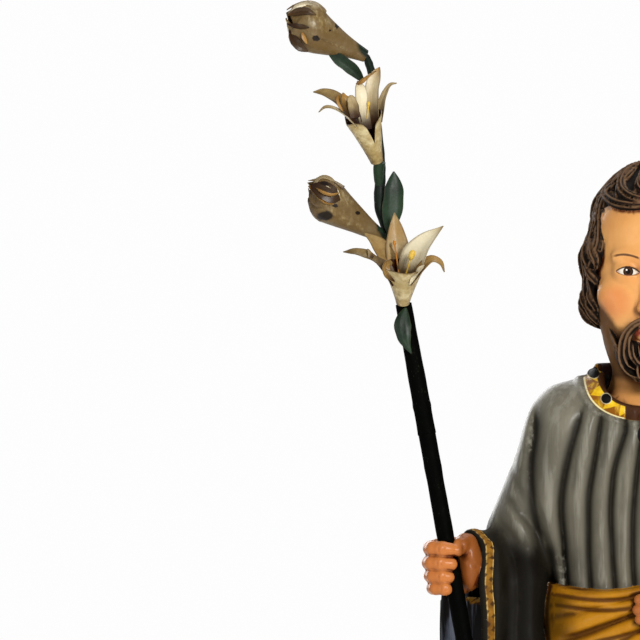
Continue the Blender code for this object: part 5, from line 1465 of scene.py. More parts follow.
class Shape:
    """Points, faces and paint marks of one piece, gathered before its mesh is made."""

    def __init__(self):
        self.points, self.faces, self.tint = [], [], []
        self.marks = {}

    def add(self, point, **marks):
        i = len(self.points)
        self.points.append(np.asarray(point, float))
        for k, v in marks.items():
            self.marks.setdefault(k, {})[i] = v
        return i

    def face(self, *corners, tint=0):
        self.faces.append(corners)
        self.tint.append(tint)

    def tube(self, line, radii, sides, tint=0, start=True, end=True, **marks):
        """Round bar along points; marks may be numbers or lists with one value for each point."""
        line = [np.asarray(c, float) for c in line]
        rows, up = [], np.array((0.0, 1.0, 0.0))
        for i, c in enumerate(line):
            t = unit(line[min(i + 1, len(line) - 1)] - line[max(i - 1, 0)])
            u = unit(up - t * (up @ t))
            v = np.cross(t, u)
            here = {k: (w[i] if hasattr(w, "__len__") else w) for k, w in marks.items()}
            rows.append([self.add(c + (u * math.cos(2 * math.pi * k / sides) + v * math.sin(2 * math.pi * k / sides)) * radii[i], **here)
                         for k in range(sides)])
        for a, b in zip(rows[:-1], rows[1:]):
            for k in range(sides):
                self.face(a[k], a[(k + 1) % sides], b[(k + 1) % sides], b[k], tint=tint)
        if start:
            self.face(*reversed(rows[0]), tint=tint)
        if end:
            self.face(*rows[-1], tint=tint)

    def grain(self, centre, axis, length, width, tint=0, rings=7, sides=12, **marks):
        """Small pointed egg, such as the head of a stamen."""
        axis = unit(axis)
        u = unit(np.cross(axis, (0.3, 1.0, 0.2)))
        v = np.cross(axis, u)
        low = self.add(centre - axis * length / 2, **marks)
        rows = []
        for i in range(1, rings):
            a = math.pi * i / rings
            r = width / 2 * math.sin(a)
            rows.append([self.add(np.asarray(centre) - axis * math.cos(a) * length / 2
                                  + (u * math.cos(2 * math.pi * k / sides) + v * math.sin(2 * math.pi * k / sides)) * r, **marks)
                         for k in range(sides)])
        high = self.add(centre + axis * length / 2, **marks)
        for k in range(sides):
            self.face(low, rows[0][(k + 1) % sides], rows[0][k], tint=tint)
            self.face(high, rows[-1][k], rows[-1][(k + 1) % sides], tint=tint)
        for a, b in zip(rows[:-1], rows[1:]):
            for k in range(sides):
                self.face(a[k], a[(k + 1) % sides], b[(k + 1) % sides], b[k], tint=tint)

    def thicken(self, thickness):
        """Gives an open sheet two sides and a rim. The marks of a point go to both its copies."""
        pts = np.array(self.points)
        normal = np.zeros_like(pts)
        for f in self.faces:
            n = np.cross(pts[f[1]] - pts[f[0]], pts[f[2]] - pts[f[0]])
            if len(f) == 4:
                n = n + np.cross(pts[f[2]] - pts[f[0]], pts[f[3]] - pts[f[0]])
            for i in f:
                normal[i] += n
        normal /= np.maximum(np.linalg.norm(normal, axis=1), 1e-9)[:, None]
        count = len(pts)
        half = np.array([thickness / 2 * (1 - 0.45 * self.marks.get("edge", {}).get(i, 0.0)) for i in range(count)])[:, None]
        self.points = list(pts + normal * half) + list(pts - normal * half)
        for name, values in list(self.marks.items()):
            self.marks[name] = {**values, **{i + count: v for i, v in values.items()}}
        self.marks["inner"] = {**{i: 0.0 for i in range(count)}, **{i + count: 1.0 for i in range(count)}}
        sheet = list(zip(self.faces, self.tint))
        used = {}
        for f, _ in sheet:
            for a, b in zip(f, f[1:] + f[:1]):
                used[(a, b)] = used.get((a, b), 0) + 1
        for f, tint in sheet:
            self.face(*[i + count for i in reversed(f)], tint=tint)
        for f, tint in sheet:
            for a, b in zip(f, f[1:] + f[:1]):
                if (b, a) not in used:
                    self.face(b, a, a + count, b + count, tint=tint)

    def build(self, name, materials, flat=50):
        mesh = bpy.data.meshes.new(name)
        mesh.from_pydata([tuple(float(c) * 0.001 for c in v) for v in self.points], [], [tuple(int(i) for i in f) for f in self.faces])
        for mat in materials:
            mesh.materials.append(mat)
        mesh.polygons.foreach_set("material_index", self.tint)
        mesh.update()
        ob = bpy.data.objects.new(name, mesh)
        bpy.context.scene.collection.objects.link(ob)
        for key, values in self.marks.items():
            mark(ob, key, [values.get(i, 0.0) for i in range(len(self.points))])
        mesh.shade_smooth()
        mesh.set_sharp_from_angle(angle=math.radians(flat))
        return ob


def resample(values, count):
    """Smooth curve through a list of numbers or points, at evenly spaced stations."""
    values = [np.atleast_1d(np.array(v, float)) for v in values]
    if len(values) == 1:
        return np.repeat([values[0]], count, 0)
    line = spline(values, 8)
    s = np.linspace(0, len(line) - 1, count)
    i = np.clip(np.floor(s).astype(int), 0, len(line) - 2)
    f = (s - i)[:, None]
    return line[i] * (1 - f) + line[i + 1] * f


def sheet(shape, path, widths, facing, cup=0.28, rib=0.5, ripple=0.05, seed=0.0, rows=18, half=4, **marks):
    """Petal along a path of points, given its half width at even steps. Its inner side looks along facing."""
    line, w = resample(path, rows + 1), np.maximum(resample(widths, rows + 1)[:, 0], 0.05)
    facing = resample(facing if hasattr(facing[0], "__len__") else [facing], rows + 1)
    tones = {k: resample(v if hasattr(v, "__len__") else [v], rows + 1)[:, 0] for k, v in marks.items()}
    last = None
    for i in range(rows + 1):
        t = i / rows
        run = unit(line[min(i + 1, rows)] - line[max(i - 1, 0)])
        n = unit(facing[i] - run * (facing[i] @ run))
        side = np.cross(run, n)
        here = {k: v[i] for k, v in tones.items()}
        here.setdefault("along", t)
        wide = w[i] * (1 + ripple * math.sin(9 * t + seed) + 0.6 * ripple * math.sin(21 * t + 2 * seed))
        row = []
        for k in range(2 * half + 1):
            u = k / half - 1
            lift = cup * wide * (u * u - 0.2) + 0.07 * wide * u * math.sin(8 * t + seed) - rib * math.exp(-(u / 0.2) ** 2) * math.sin(math.pi * min(1, 1.1 * t))
            row.append(shape.add(line[i] + side * wide * u + n * lift, edge=max(abs(u) ** 3, max(0.0, (t - 0.9) / 0.1)), **here))
        if last is not None:
            for k in range(2 * half):
                shape.face(row[k], row[k + 1], last[k + 1], last[k])
        last = row


def funnel(shape, base, throat, r0, r1, reach, around=44, levels=12, flare=1.0, **marks):
    """Cone of a flower. reach(angle) tells how far it goes, 1 being the throat; 270 degrees is the front."""
    base, throat = np.array(base, float), np.array(throat, float)
    axis = unit(throat - base)
    side = unit(np.cross((0.0, 1.0, 0.0), axis))
    fore = unit(np.cross(axis, side))
    apex = shape.add(base - axis * 1.5, along=-1.0, tone=0.7, **marks)
    grid = []
    for j in range(levels):
        row = []
        for k in range(around):
            angle = 2 * math.pi * k / around
            t = j / (levels - 1) * reach(math.degrees(angle))
            r = mix(r0, r1, t ** 1.15) * (1 + 0.03 * math.cos(5 * angle + 0.6) * t) + flare * max(0.0, t - 0.8) * 3
            row.append(shape.add(base * (1 - t) + throat * t + (side * math.cos(angle) + fore * math.sin(angle)) * r, along=0.45 * t - 0.5,
                                 tone=0.55 - 0.45 * t + 0.15 * math.sin(2 * angle + 1), edge=1.0 if j == levels - 1 else 0.0, **marks))
        grid.append(row)
    for k in range(around):
        shape.face(apex, grid[0][(k + 1) % around], grid[0][k])
    for a, b in zip(grid[:-1], grid[1:]):
        for k in range(around):
            shape.face(a[k], a[(k + 1) % around], b[(k + 1) % around], b[k])


def bud(shape, path, radii, petals, flat=0.85, rows=24, half=6):
    """Closed flower: petals wrapped round a path. Each is (angle, half angle, reach, lift, curl, dark); 0 is up, 270 the front."""
    line, radius = resample(path, 61), resample(radii, 61)[:, 0]
    for number, (angle, spread, reach, lift, curl, dark) in enumerate(petals):
        last = None
        for i in range(rows + 1):
            t = reach * i / rows
            s = t * 60
            a = min(int(s), 59)
            c = line[a] + (line[a + 1] - line[a]) * (s - a)
            r = radius[a] + (radius[a + 1] - radius[a]) * (s - a)
            run = unit(line[min(a + 2, 60)] - line[max(a - 2, 0)])
            up = unit(np.cross((0.0, 1.0, 0.0), run))
            back = unit(np.cross(run, up))
            taper = min(1.0, max(0.0, (reach - t) / (0.36 * reach))) ** 0.62
            inward = curl * max(0.0, (t / reach - 0.72) / 0.28) ** 2
            row = []
            for k in range(2 * half + 1):
                u = k / half - 1
                g = math.radians(angle + spread * u * max(taper, 0.02) + 6 * math.sin(5 * t + number))
                rr = (r + lift * (1 - 0.8 * abs(u)) - inward) * (1 + 0.03 * math.sin(9 * t + 2.3 * number) + 0.02 * math.cos(3 * g))
                rr -= 0.5 * math.exp(-(u / 0.16) ** 2) * math.sin(math.pi * min(1, t * 1.2))
                row.append(shape.add(c + (up * math.cos(g) + back * flat * math.sin(g)) * max(rr, 0.6), along=mix(-0.4, 0.35, t), edge=max(abs(u) ** 4 * (0.3 + 0.7 * (taper < 1)), max(0.0, (i / rows - 0.93) / 0.07)),
                                     tone=0.98 - 0.42 * t + 0.2 * abs(u) + 0.15 * math.sin(6 * t + number), dark=dark * max(0.0, (t / reach - 0.6) / 0.4), leafy=max(0.0, 1 - t / 0.2) * (0.5 + 0.5 * math.cos(g))))
            if last is not None:
                for k in range(2 * half):
                    shape.face(last[k], last[k + 1], row[k + 1], row[k])
            last = row


def blossom(name, materials, build, thickness=1.0, stamens=()):
    shape = Shape()
    build(shape)
    shape.thicken(thickness)
    for root, head, size, tint in stamens:
        root, head = np.array(root, float), np.array(head, float)
        mid = (root + head) / 2 + np.array((0.0, -1.5, 0.0))
        line = [root * (1 - t) ** 2 + mid * 2 * t * (1 - t) + head * t * t for t in np.linspace(0, 1, 7)]
        shape.tube(line, [0.6] * 7, 8, tint=tint, along=0.5, inner=0.0)
        shape.grain(head, head - mid + np.array((0.4, 0, 0.1)), size, size * 0.6, tint=tint, along=0.5, inner=0.0)
    return shape.build(name, materials)


VIEWER = (0.0, -1.0, 0.15)


def low_lily(s):
    funnel(s, (-188.7, -9.0, 807.2), (-188.3, -27.0, 836.5), 4.8, 15.5, lambda a: 1.0 + 0.10 * math.cos(math.radians(a - 262)) - 0.12 * max(0.0, 1 - abs(a - 325) / 16))
    # upright at the back, with an orange middle
    sheet(s, [(-191.7, -12.0, 817.2), (-192.5, -10.0, 834.1), (-193.3, -6.0, 853.4), (-195.2, -4.0, 876.5)], [3.5, 7.5, 9.4, 9.0, 6.0, 0.4], (0.05, -1, 0.25), seed=0.4, gold=[0.2, 0.4, 0.7, 0.3, 0.6, 0.2], white=[0, 0.1, 0.3, 0.3, 0.2, 0], dark=[1, 0.9, 0.25, 0, 0, 0])
    # right, large and ivory
    sheet(s, [(-187.1, -22.0, 817.2), (-182.5, -25.0, 834.1), (-173.2, -29.0, 851.9), (-157.8, -30.0, 866.5)], [3.5, 9.0, 12.0, 10.5, 6.0, 0.3], (-0.55, -0.8, 0.35), cup=0.34, seed=1.7, white=[0, 0, 0.5, 0.9, 0.8, 0.2], dark=[1, 0.7, 0.1, 0, 0, 0])
    # right, curled over
    sheet(s, [(-183.3, -32.0, 821.8), (-174.8, -36.0, 833.4), (-167.1, -38.0, 840.3), (-160.2, -38.0, 838.0), (-157.1, -36.0, 831.1)], [3, 5.8, 5.8, 4.6, 3.0, 0.4], [(-0.3, -0.6, 0.7), (-0.2, -0.5, 0.8), (0.1, -0.5, 0.9), (0.7, -0.5, 0.5), (0.9, -0.4, -0.1)], seed=2.2, gold=[0.3, 0.5, 0.6, 0.4], dark=[0.5, 0.2, 0, 0.2])
    # left, long and brown, with a torn upper edge
    sheet(s, [(-194.8, -26.0, 821.8), (-202.5, -29.0, 834.5), (-213.3, -29.0, 842.6), (-224.1, -27.0, 846.5), (-234.8, -24.0, 846.5)], [3, 5.0, 4.6, 4.2, 2.6, 0.3], [(0.3, -0.8, 0.5), (0.2, -0.7, 0.7), (0, -0.7, 0.7), (0, -0.8, 0.6)], ripple=0.16, seed=0.9, dark=[0.8, 0.55, 0.6, 0.45, 0.5, 0.6])
    sheet(s, [(-213.3, -30.0, 841.9), (-214.1, -30.0, 844.9), (-215.2, -30.0, 847.6), (-216.4, -30.0, 848.8)], [2.4, 1.8, 1.0, 0.2], VIEWER, rows=6, half=2, dark=0.4, rib=0.0)
    # left, behind
    sheet(s, [(-194.0, -14.0, 821.8), (-199.4, -11.0, 838.8), (-207.9, -7.0, 852.6), (-218.7, -4.0, 861.1)], [3, 6.0, 6.6, 4.6, 0.3], (0.25, -1, 0.3), seed=3.1, dark=[0.9, 0.5, 0.25, 0.2, 0.3], gold=[0, 0.3, 0.4, 0.2])
    # small curl at the left front
    sheet(s, [(-195.6, -33.0, 824.1), (-200.2, -37.0, 828.8), (-202.1, -38.0, 834.1), (-200.2, -36.0, 838.0), (-197.1, -33.0, 837.2)], [1.2, 3.2, 3.7, 2.8, 1.2], [(-0.2, -0.6, 0.7), (0.2, -0.9, 0.3), (0.7, -0.7, 0.0), (0.9, -0.2, -0.5)], seed=1.1, gold=[0, 0.5, 0.8, 0.3], dark=[0.2, 0.3, 0.5])
    # lip of the cone that turns out at the front right
    sheet(s, [(-183.3, -34.0, 821.8), (-179.4, -38.0, 828.0), (-175.6, -39.0, 833.4), (-172.5, -38.0, 836.5)], [1.0, 3.6, 3.0, 0.3], [(0.2, -0.3, 0.9), (0.3, -0.2, 0.9), (0.5, 0.1, 0.8)], seed=0.2, white=0.6)


def high_lily(s):
    funnel(s, (-208.7, 6.0, 916.5), (-219.5, -13.0, 950.4), 4.6, 13.8, lambda a: 1.0 + 0.04 * math.cos(math.radians(a - 180)) - 0.46 * max(0.0, 1 - abs(a - 286) / 19) + 0.06 * math.cos(math.radians(3 * a)))
    sheet(s, [(-211.0, -12.0, 942.0), (-212.9, -13.0, 958.9), (-212.1, -12.0, 972.8), (-209.4, -10.0, 982.8), (-206.7, -8.0, 988.9)], [4, 6.0, 6.2, 5.4, 3.4, 0.3], (-0.35, -1, 0.1), cup=0.42, seed=0.3, white=[0, 0.3, 0.5, 0.5, 0.1], gold=[0, 0.2, 0.1, 0.5, 0.9], dark=[0.9, 0.3, 0, 0, 0])
    sheet(s, [(-217.1, -16.0, 940.4), (-220.6, -19.0, 957.4), (-221.4, -19.0, 968.9), (-222.9, -15.0, 978.1)], [4, 5.2, 5.4, 4.4, 1.2], (0.45, -1, 0.1), cup=0.4, seed=1.3, white=[0, 0.6, 1.0, 0.9, 0.3], dark=[0.9, 0.1, 0, 0, 0])
    # folded-in top of the white petal
    sheet(s, [(-224.1, -18.0, 975.8), (-220.2, -21.0, 978.1), (-215.6, -20.0, 982.0), (-209.4, -13.0, 985.8)], [1.2, 2.2, 2.2, 0.6], [(0.1, -0.6, -0.8)], rows=8, half=2, gold=[0.6, 0.9, 0.7])
    sheet(s, [(-207.1, -8.0, 946.6), (-205.2, -8.0, 960.4), (-202.1, -7.0, 969.7), (-198.3, -6.0, 975.4), (-193.3, -5.0, 976.6)], [4, 4.2, 3.0, 2.2, 1.5, 0.3], [(-0.6, -0.7, 0.3), (-0.5, -0.7, 0.5), (-0.3, -0.7, 0.7)], seed=2.1, dark=[0.3, 0, 0, 0], white=[0, 0.3, 0.3, 0])
    sheet(s, [(-222.5, -12.0, 943.5), (-231.8, -13.0, 957.4), (-240.2, -13.0, 965.0), (-249.5, -12.0, 969.3), (-257.9, -10.0, 969.7)], [4, 6.2, 6.4, 5.0, 2.8, 0.3], [(0.3, -0.8, 0.5), (0.2, -0.8, 0.6), (0, -0.8, 0.6)], seed=0.9, dark=[0.9, 0.6, 0.45, 0.35, 0.4], gold=[0, 0.4, 0.3, 0])
    sheet(s, [(-224.8, -22.0, 943.5), (-233.3, -25.0, 952.0), (-241.8, -25.0, 957.0), (-248.7, -24.0, 957.7), (-253.7, -22.0, 953.9)], [4, 3.6, 2.4, 2.0, 1.6, 0.3], [(0, -0.3, 1), (-0.1, -0.4, 0.9), (-0.5, -0.5, 0.7)], seed=1.9, white=[0, 0.4, 0.2, 0])
    # inner petal with a golden rim
    sheet(s, [(-223.3, -20.0, 945.0), (-229.5, -23.0, 955.8), (-233.3, -24.0, 963.5), (-234.8, -22.0, 968.9)], [3.5, 6.4, 5.6, 3.4, 0.6], [(0.5, -0.9, 0.2)], cup=0.4, seed=2.6, gold=[0, 0.4, 0.7, 0.9], dark=[1, 0.8, 0.4, 0])
    sheet(s, [(-238.7, -25.0, 966.6), (-239.1, -26.5, 962.7), (-237.2, -27.0, 958.1), (-234.1, -26.0, 954.3)], [0.9, 1.2, 1.2, 0.7], VIEWER, rows=8, half=2, rib=0.0, gold=1.0)
    sheet(s, [(-225.6, -24.0, 949.6), (-227.2, -25.0, 958.9), (-228.7, -24.0, 964.3), (-230.2, -23.0, 966.6)], [3.4, 4.2, 3.0, 0.8], VIEWER, seed=0.6, white=[0, 0.2, 0.3, 0.1], dark=[0.6, 0.3, 0.1, 0])


def low_bud(s):
    bud(s, [(-204.8, 7.5, 858.0), (-214.8, 4.0, 863.9), (-225.3, 1.0, 871.0), (-241.5, -2.5, 881.4), (-245.9, -3.0, 884.4), (-250.4, -4.0, 890.1), (-255.1, -5.0, 895.5), (-262.6, -6.0, 899.6)], [3.6, 6.2, 9.4, 14.6, 15.8, 14.0, 10.4, 2.2], [
        (90, 62, 0.99, 0.2, 0.0, 0.0), (20, 44, 0.92, 1.1, 1.0, 0.1), (318, 40, 1.00, 0.3, 0.0, 0.15), (262, 40, 0.84, 1.2, -0.8, 0.1),
        (150, 44, 0.95, -0.6, 1.0, 0.3), (205, 40, 0.80, 0.4, 1.0, 0.6), (340, 50, 0.80, -1.2, 2.0, 1.0)])
    # rolled lip over the mouth
    sheet(s, [(-257.2, -12.0, 897.3), (-254.1, -11.0, 901.9), (-248.7, -8.0, 903.8), (-243.3, -6.0, 900.4), (-239.5, -6.0, 894.2)], [1.0, 2.0, 2.4, 2.2, 1.0], [(0.2, -0.9, -0.4)], rows=12, half=2, gold=[0.2, 0.3, 0.1], white=[0.2, 0.4, 0.2])
    sheet(s, [(-261.0, -12.0, 897.3), (-255.6, -17.0, 891.1), (-248.7, -19.0, 885.0), (-241.8, -18.0, 883.4)], [0.9, 1.6, 1.6, 0.7], [(0, -0.9, 0.5)], rows=12, half=2, gold=[0.6, 1.0, 0.8])
    # dark inside that shows in the mouth: sheets of painted shade that stand for its shadow
    sheet(s, [(-259.5, -13.0, 898.1), (-254.9, -17.5, 896.1), (-247.9, -19.5, 893.1), (-241.8, -18.5, 888.8), (-237.2, -15.0, 886.5)], [0.5, 5.0, 7.6, 5.4, 0.5], [(0.05, -1, 0.2)], cup=0.1, rows=14, half=3, dark=1.0)
    sheet(s, [(-255.6, -19.5, 895.8), (-250.2, -21.5, 892.3), (-244.1, -21.5, 890.4), (-237.9, -18.0, 891.9)], [0.3, 1.3, 1.2, 0.3], [(0, -0.9, 0.5)], rows=12, half=2, gold=[0.5, 0.9, 0.6])
    sheet(s, [(-251.8, -17.0, 898.8), (-245.6, -18.5, 897.3), (-240.2, -17.0, 893.8), (-237.2, -15.0, 889.6)], [0.3, 1.6, 1.5, 0.3], [(0, -0.9, 0.5)], rows=12, half=2, white=[0.4, 0.9, 0.5])
    sheet(s, [(-260.3, -12.0, 894.2), (-257.9, -14.0, 888.0), (-254.1, -16.0, 883.4), (-249.5, -17.0, 880.4)], [0.6, 3.4, 3.0, 0.4], [(-0.2, -1, 0)], cup=0.1, rows=12, half=3, dark=[0.5, 0.7, 0.6])


def top_bud(s):
    bud(s, [(-217.5, 5.5, 997.4), (-229.5, 3.0, 1003.1), (-243.7, 0.0, 1009.6), (-257.6, -3.0, 1016.4), (-263.7, -4.0, 1022.0), (-268.6, -4.0, 1025.7), (-274.1, -5.0, 1028.6), (-279.0, -6.0, 1030.5)], [3.8, 6.6, 11.4, 16.4, 17.4, 15.6, 9.5, 1.8], [
        (90, 62, 0.98, 0.2, 0.0, 0.0), (8, 50, 1.0, 0.8, -0.5, 0.0), (310, 44, 0.88, 1.2, 0.5, 0.1), (262, 40, 0.93, 0.2, 0.5, 0.2),
        (160, 44, 0.95, -0.4, 0.8, 0.3), (215, 40, 0.97, 0.9, -0.6, 0.35), (345, 52, 0.86, -1.4, 1.5, 1.0)])
    sheet(s, [(-277.2, -13.0, 1029.0), (-271.0, -13.0, 1035.1), (-264.1, -12.0, 1037.0), (-257.9, -11.0, 1034.3), (-254.1, -10.0, 1029.0)], [0.8, 1.8, 2.2, 1.9, 0.8], [(0.1, -0.9, -0.4)], rows=12, half=2, white=[0.3, 0.9, 0.9, 0.4])
    # painted shade: a dark sheet under the lip stands for the shadow in the mouth
    sheet(s, [(-277.2, -14.0, 1029.0), (-270.3, -18.0, 1031.3), (-262.6, -19.0, 1031.7), (-255.6, -17.0, 1029.0)], [0.4, 2.8, 2.8, 0.4], [(0, -1, 0.1)], rows=12, half=3, dark=[0.6, 0.9, 0.7], gold=[0.6, 0.3, 0.5])
    # open slits, dark sheets of painted shade, and a gilt blade in the mouth at the left
    sheet(s, [(-278.0, -12.0, 1022.0), (-271.8, -17.5, 1020.5), (-266.4, -20.0, 1019.7), (-261.0, -20.5, 1019.3)], [0.4, 1.8, 1.8, 0.4], VIEWER, rows=10, half=2, rib=0.0, dark=1.0)
    sheet(s, [(-276.4, -12.0, 1017.4), (-272.6, -16.5, 1009.7), (-268.0, -18.0, 1004.3), (-261.8, -15.5, 1000.9)], [0.4, 3.4, 3.4, 0.6], [(0, -1, 0)], rows=10, half=3, dark=[0.9, 1.0, 0.8])
    sheet(s, [(-266.4, -19.5, 1015.1), (-264.9, -20.0, 1011.2), (-262.6, -19.5, 1006.6)], [0.8, 1.7, 0.6], VIEWER, rows=8, half=2, rib=0.0, gold=1.0)


def blade(name, path, widths, facing, mat, **shape_of):
    shape = Shape()
    sheet(shape, path, widths, facing, rows=22, **shape_of)
    shape.thicken(1.0)
    return shape.build(name, [mat])


def staff_bar(mat):
    """Black wooden rod with a step where its upper half is set in, and small dents and a drip of paint."""
    shape = Shape()
    heights = [STAFF_BOTTOM, STAFF_BOTTOM + 0.5, STAFF_BOTTOM + 1.5]
    heights += list(np.linspace(STAFF_BOTTOM + 6, STAFF_STEP - 1.2, 52)) + [STAFF_STEP - 0.4, STAFF_STEP, STAFF_STEP + 0.5]
    heights += list(np.linspace(STAFF_STEP + 3, STAFF_TOP - 1.5, 26)) + [STAFF_TOP]
    radii = []
    for z in heights:
        r = STAFF_RADIUS + 0.5 - 0.9 * (z - STAFF_STEP) / (STAFF_TOP - STAFF_STEP) if z > STAFF_STEP else STAFF_RADIUS
        if z <= STAFF_BOTTOM + 0.5:
            r = STAFF_RADIUS - (1.0 if z == STAFF_BOTTOM else 0.3)
        r += 0.10 * math.sin(z / 9.0) + 0.06 * math.sin(z / 3.7)
        r += 0.45 * math.exp(-((z - 727.0) / 1.6) ** 2) + 0.35 * math.exp(-((z - 678.6) / 2.2) ** 2)
        radii.append(min(r, STAFF_RADIUS + 0.25) if 560 < z < 645 else r)
    shape.tube([on_staff(z) for z in heights], radii, 32)
    return shape.build("staff_bar", [mat], 40)


def stem_wire(mat, leafy):
    """Wire from the top of the staff up to the last bud, with the sheaths below the flowers."""
    stations = [(on_staff(STAFF_TOP + 0.6), 4.2), (on_staff(STAFF_TOP + 4), 4.0), ((-190.6, 8.0, 820), 3.6), ((-195.0, 14.5, 838), 3.5),
                ((-200.0, 15.5, 860), 3.6), ((-206.0, 15.0, 878.8), 4.2), ((-206.5, 14.0, 892.7), 4.5), ((-205.6, 14.0, 905.8), 4.0), ((-205.6, 14.5, 918.9), 3.4),
                ((-207.5, 15.0, 940.4), 3.1), ((-210.6, 14.0, 963.5), 3.1), ((-211.8, 12.0, 980.5), 3.3), ((-214.1, 9.0, 989.7), 3.3), ((-216.8, 6.4, 996.2), 3.1), ((-221.0, 4.8, 998.9), 2.6)]
    shape = Shape()
    line = spline([s[0] for s in stations], 6)
    radii = np.interp(np.linspace(0, len(stations) - 1, len(line)), range(len(stations)), [s[1] for s in stations])
    radii = radii + 0.14 * np.sin(np.arange(len(line)) * 1.3) - 0.1
    shape.tube(line, list(radii), 20)
    # sheath under the upper lily and one under the lower bud
    sheath = spline([(-206.4, 7.0, 915.8), (-207.3, 9.0, 909.6), (-207.0, 12.0, 901.9), (-205.9, 14.0, 893.4)], 5)
    shape.tube(sheath, list(np.interp(np.linspace(0, 1, len(sheath)), (0, 0.3, 0.7, 1), (4.7, 4.3, 3.8, 2.4))), 18, tint=1)
    sheath = spline([(-210.6, 5.5, 862.3), (-205.6, 8.0, 858.8), (-201.0, 11.0, 853.4), (-198.7, 14.0, 846.5)], 5)
    shape.tube(sheath, list(np.interp(np.linspace(0, 1, len(sheath)), (0, 0.4, 1), (5.2, 4.2, 2.6))), 18, tint=1)
    return shape.build("stem_wire", [mat, leafy], 60)


def make_flowers(cream, green, amber, lemon):
    paints = [cream, amber, lemon]
    return [
        (blossom("lily_low", paints, low_lily, stamens=[
            ((-187.9, -26.0, 824.9), (-182.1, -35.0, 844.2), 8.5, 2), ((-191.0, -22.0, 823.4), (-195.2, -14.0, 853.4), 4.2, 1)]), "lily_open_lower", "cream_enamel"),
        (blossom("lily_high", paints, high_lily, stamens=[((-217.1, -14.0, 943.5), (-215.2, -20.0, 960.4), 4.0, 2)]), "lily_open_upper", "cream_enamel"),
        (blossom("bud_low", paints, low_bud), "lily_bud_lower", "cream_enamel"),
        (blossom("bud_top", paints, top_bud), "lily_bud_top", "cream_enamel"),
        (blade("blade_low", [(-186.6, -6.4, 803), (-188.9, -10.5, 791), (-187.3, -12.0, 779), (-182.3, -11.5, 768)], [1.0, 5.0, 6.6, 5.6, 3.0, 0.3], (0, -1, 0.1), green, cup=-0.2), "leaf_lower", "green_enamel"),
        (blade("blade_mid", [(-198.7, 8.5, 857.2), (-197.5, 8.0, 871.1), (-195.6, 8.0, 886.5), (-195.2, 8.0, 898.1), (-195.6, 8.5, 908.5)], [1.4, 5.4, 8.2, 8.0, 5.4, 0.4], (0.15, -1, 0), green, cup=-0.2), "leaf_middle", "green_enamel"),
        (blade("blade_top", [(-219.8, 2.0, 978.9), (-227.2, -1.0, 987.0), (-237.2, -3.0, 994.7), (-248.3, -4.0, 1002.4)], [1.6, 4.2, 5.2, 4.2, 0.4], (0.35, -0.75, -0.55), green, cup=0.2), "leaf_top", "green_enamel"),
    ]


# ============================================================================= floor, light, camera
def plain_paint(name, colour, rough):
    m = Paint(name)
    m.set(Base_Color=m.mix(m.noise(2.0, 2), rgb(*colour), rgb(*[c - 4 for c in colour])), Roughness=rough)
    # the studio lamps fade with the distance, so the outer floor is evened out
    far = m.math("SQRT", m.add(m.mul(m.x, m.x), m.mul(m.y, m.y)))
    m.set(Emission_Color=rgb(255, 254, 252), Emission_Strength=m.ramp(far, 500, 2600, 0.0, 0.55))
    return m.mat


def floor():
    rings, sides = [0.0, 0.4, 1.0, 3.0], 96
    points = [(0.0, 0.0, -0.2)]
    faces = []
    for r in rings[1:]:
        points += [(1000 * r * math.cos(2 * math.pi * k / sides), 1000 * r * math.sin(2 * math.pi * k / sides), -0.2) for k in range(sides)]
    for k in range(sides):
        faces.append((0, 1 + k, 1 + (k + 1) % sides))
    for j in range(len(rings) - 2):
        a, b = 1 + j * sides, 1 + (j + 1) * sides
        faces += [(a + k, b + k, b + (k + 1) % sides, a + (k + 1) % sides) for k in range(sides)]
    mesh = bpy.data.meshes.new("floor")
    mesh.from_pydata([tuple(c * 0.001 for c in v) for v in points], [], faces)
    mesh.materials.append(plain_paint("floor_paint", (236, 235, 232), 0.6))
    ob = bpy.data.objects.new("floor", mesh)
    bpy.context.scene.collection.objects.link(ob)


def lamp(name, place, target, size, power, tone=(1.0, 1.0, 1.0)):
    light = bpy.data.lights.new(name, "AREA")
    light.shape, light.size, light.energy, light.color = "DISK", size, power, tone
    ob = bpy.data.objects.new(name, light)
    ob.location = place
    ob.rotation_euler = (Vector(target) - Vector(place)).to_track_quat("-Z", "Y").to_euler()
    bpy.context.scene.collection.objects.link(ob)


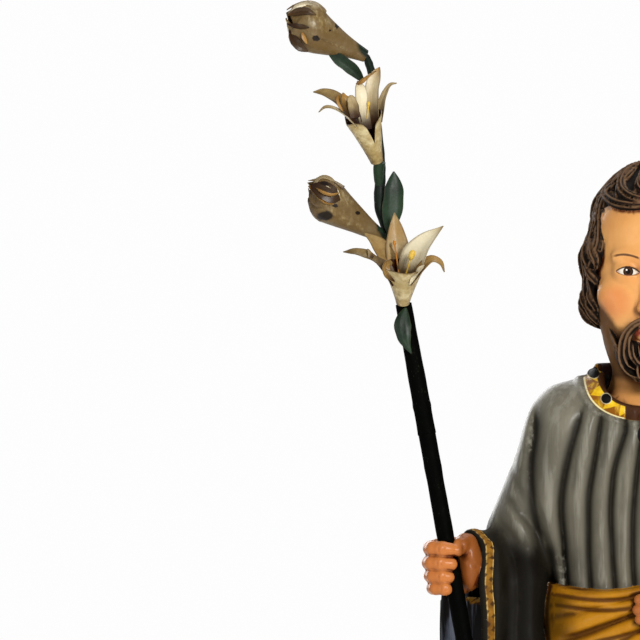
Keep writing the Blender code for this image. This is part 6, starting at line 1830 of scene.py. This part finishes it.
def studio():
    scene = bpy.context.scene
    floor()
    world = bpy.data.worlds.new("studio")
    scene.world = world
    world.use_nodes = True
    tree = world.node_tree
    tree.nodes.clear()
    out = tree.nodes.new("ShaderNodeOutputWorld")
    seen, soft = tree.nodes.new("ShaderNodeBackground"), tree.nodes.new("ShaderNodeBackground")
    seen.inputs[0].default_value, seen.inputs[1].default_value = (0.985, 0.985, 0.985, 1), 1.0
    soft.inputs[0].default_value, soft.inputs[1].default_value = (1.0, 1.0, 1.0, 1), 0.30
    path, join = tree.nodes.new("ShaderNodeLightPath"), tree.nodes.new("ShaderNodeMixShader")
    tree.links.new(path.outputs["Is Camera Ray"], join.inputs[0])
    tree.links.new(soft.outputs[0], join.inputs[1])
    tree.links.new(seen.outputs[0], join.inputs[2])
    tree.links.new(join.outputs[0], out.inputs[0])
    lamp("key", (0.8, -2.5, 1.55), (-0.05, 0, 0.65), 0.8, 54.0, (1.0, 0.985, 0.96))
    lamp("fill", (-1.9, -1.9, 1.2), (-0.1, 0, 0.7), 1.2, 9.0, (0.94, 0.97, 1.0))
    lamp("top", (0.2, 0.7, 2.5), (0, 0, 0.7), 1.6, 14.0)
    lamp("back", (-0.9, 2.4, 1.3), (0, 0, 0.6), 1.6, 20.0)

    camera = bpy.data.cameras.new("camera")
    camera.sensor_width = 36.0
    camera.lens = 36.0 * 5.98 / 0.4928
    camera.clip_end = 100.0
    ob = bpy.data.objects.new("camera", camera)
    ob.location = (-0.2526, -6.0, 0.894)
    ob.rotation_euler = (Vector((-0.2526, -0.02, 0.794)) - ob.location).to_track_quat("-Z", "Y").to_euler()
    scene.collection.objects.link(ob)
    scene.camera = ob
    scene.view_settings.view_transform = "Standard"


# ============================================================================= the whole
def main():
    plaster = plaster_paint()
    cream = petal_paint()
    green = enamel("green_enamel", rgb(30, 56, 32), rgb(12, 26, 16), 0.34, rgb(58, 56, 36))
    black = enamel("black_paint", rgb(5, 6, 4), rgb(2, 3, 2), 0.55, gloss=0.02)
    stem = enamel("stem_enamel", rgb(20, 34, 24), rgb(6, 9, 7), 0.4, gloss=0.2)
    amber = enamel("amber_enamel", rgb(206, 134, 44), rgb(160, 92, 26), 0.35)
    lemon = enamel("lemon_enamel", rgb(232, 196, 84), rgb(206, 160, 50), 0.35)

    figure = make_figure()
    figure.name = figure.data.name = "saint_figure"
    figure.data.materials.clear()
    figure.data.materials.append(plaster)
    figure.data.shade_smooth()
    pieces = [(figure, "statue", "painted_plaster"), (staff_bar(black), "staff_rod", "black_paint"), (stem_wire(stem, green), "lily_stem", "green_enamel")]
    pieces += make_flowers(cream, green, amber, lemon)
    for piece, node, slot in pieces:
        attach(piece, "root")
        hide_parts(node)
    studio()


main()
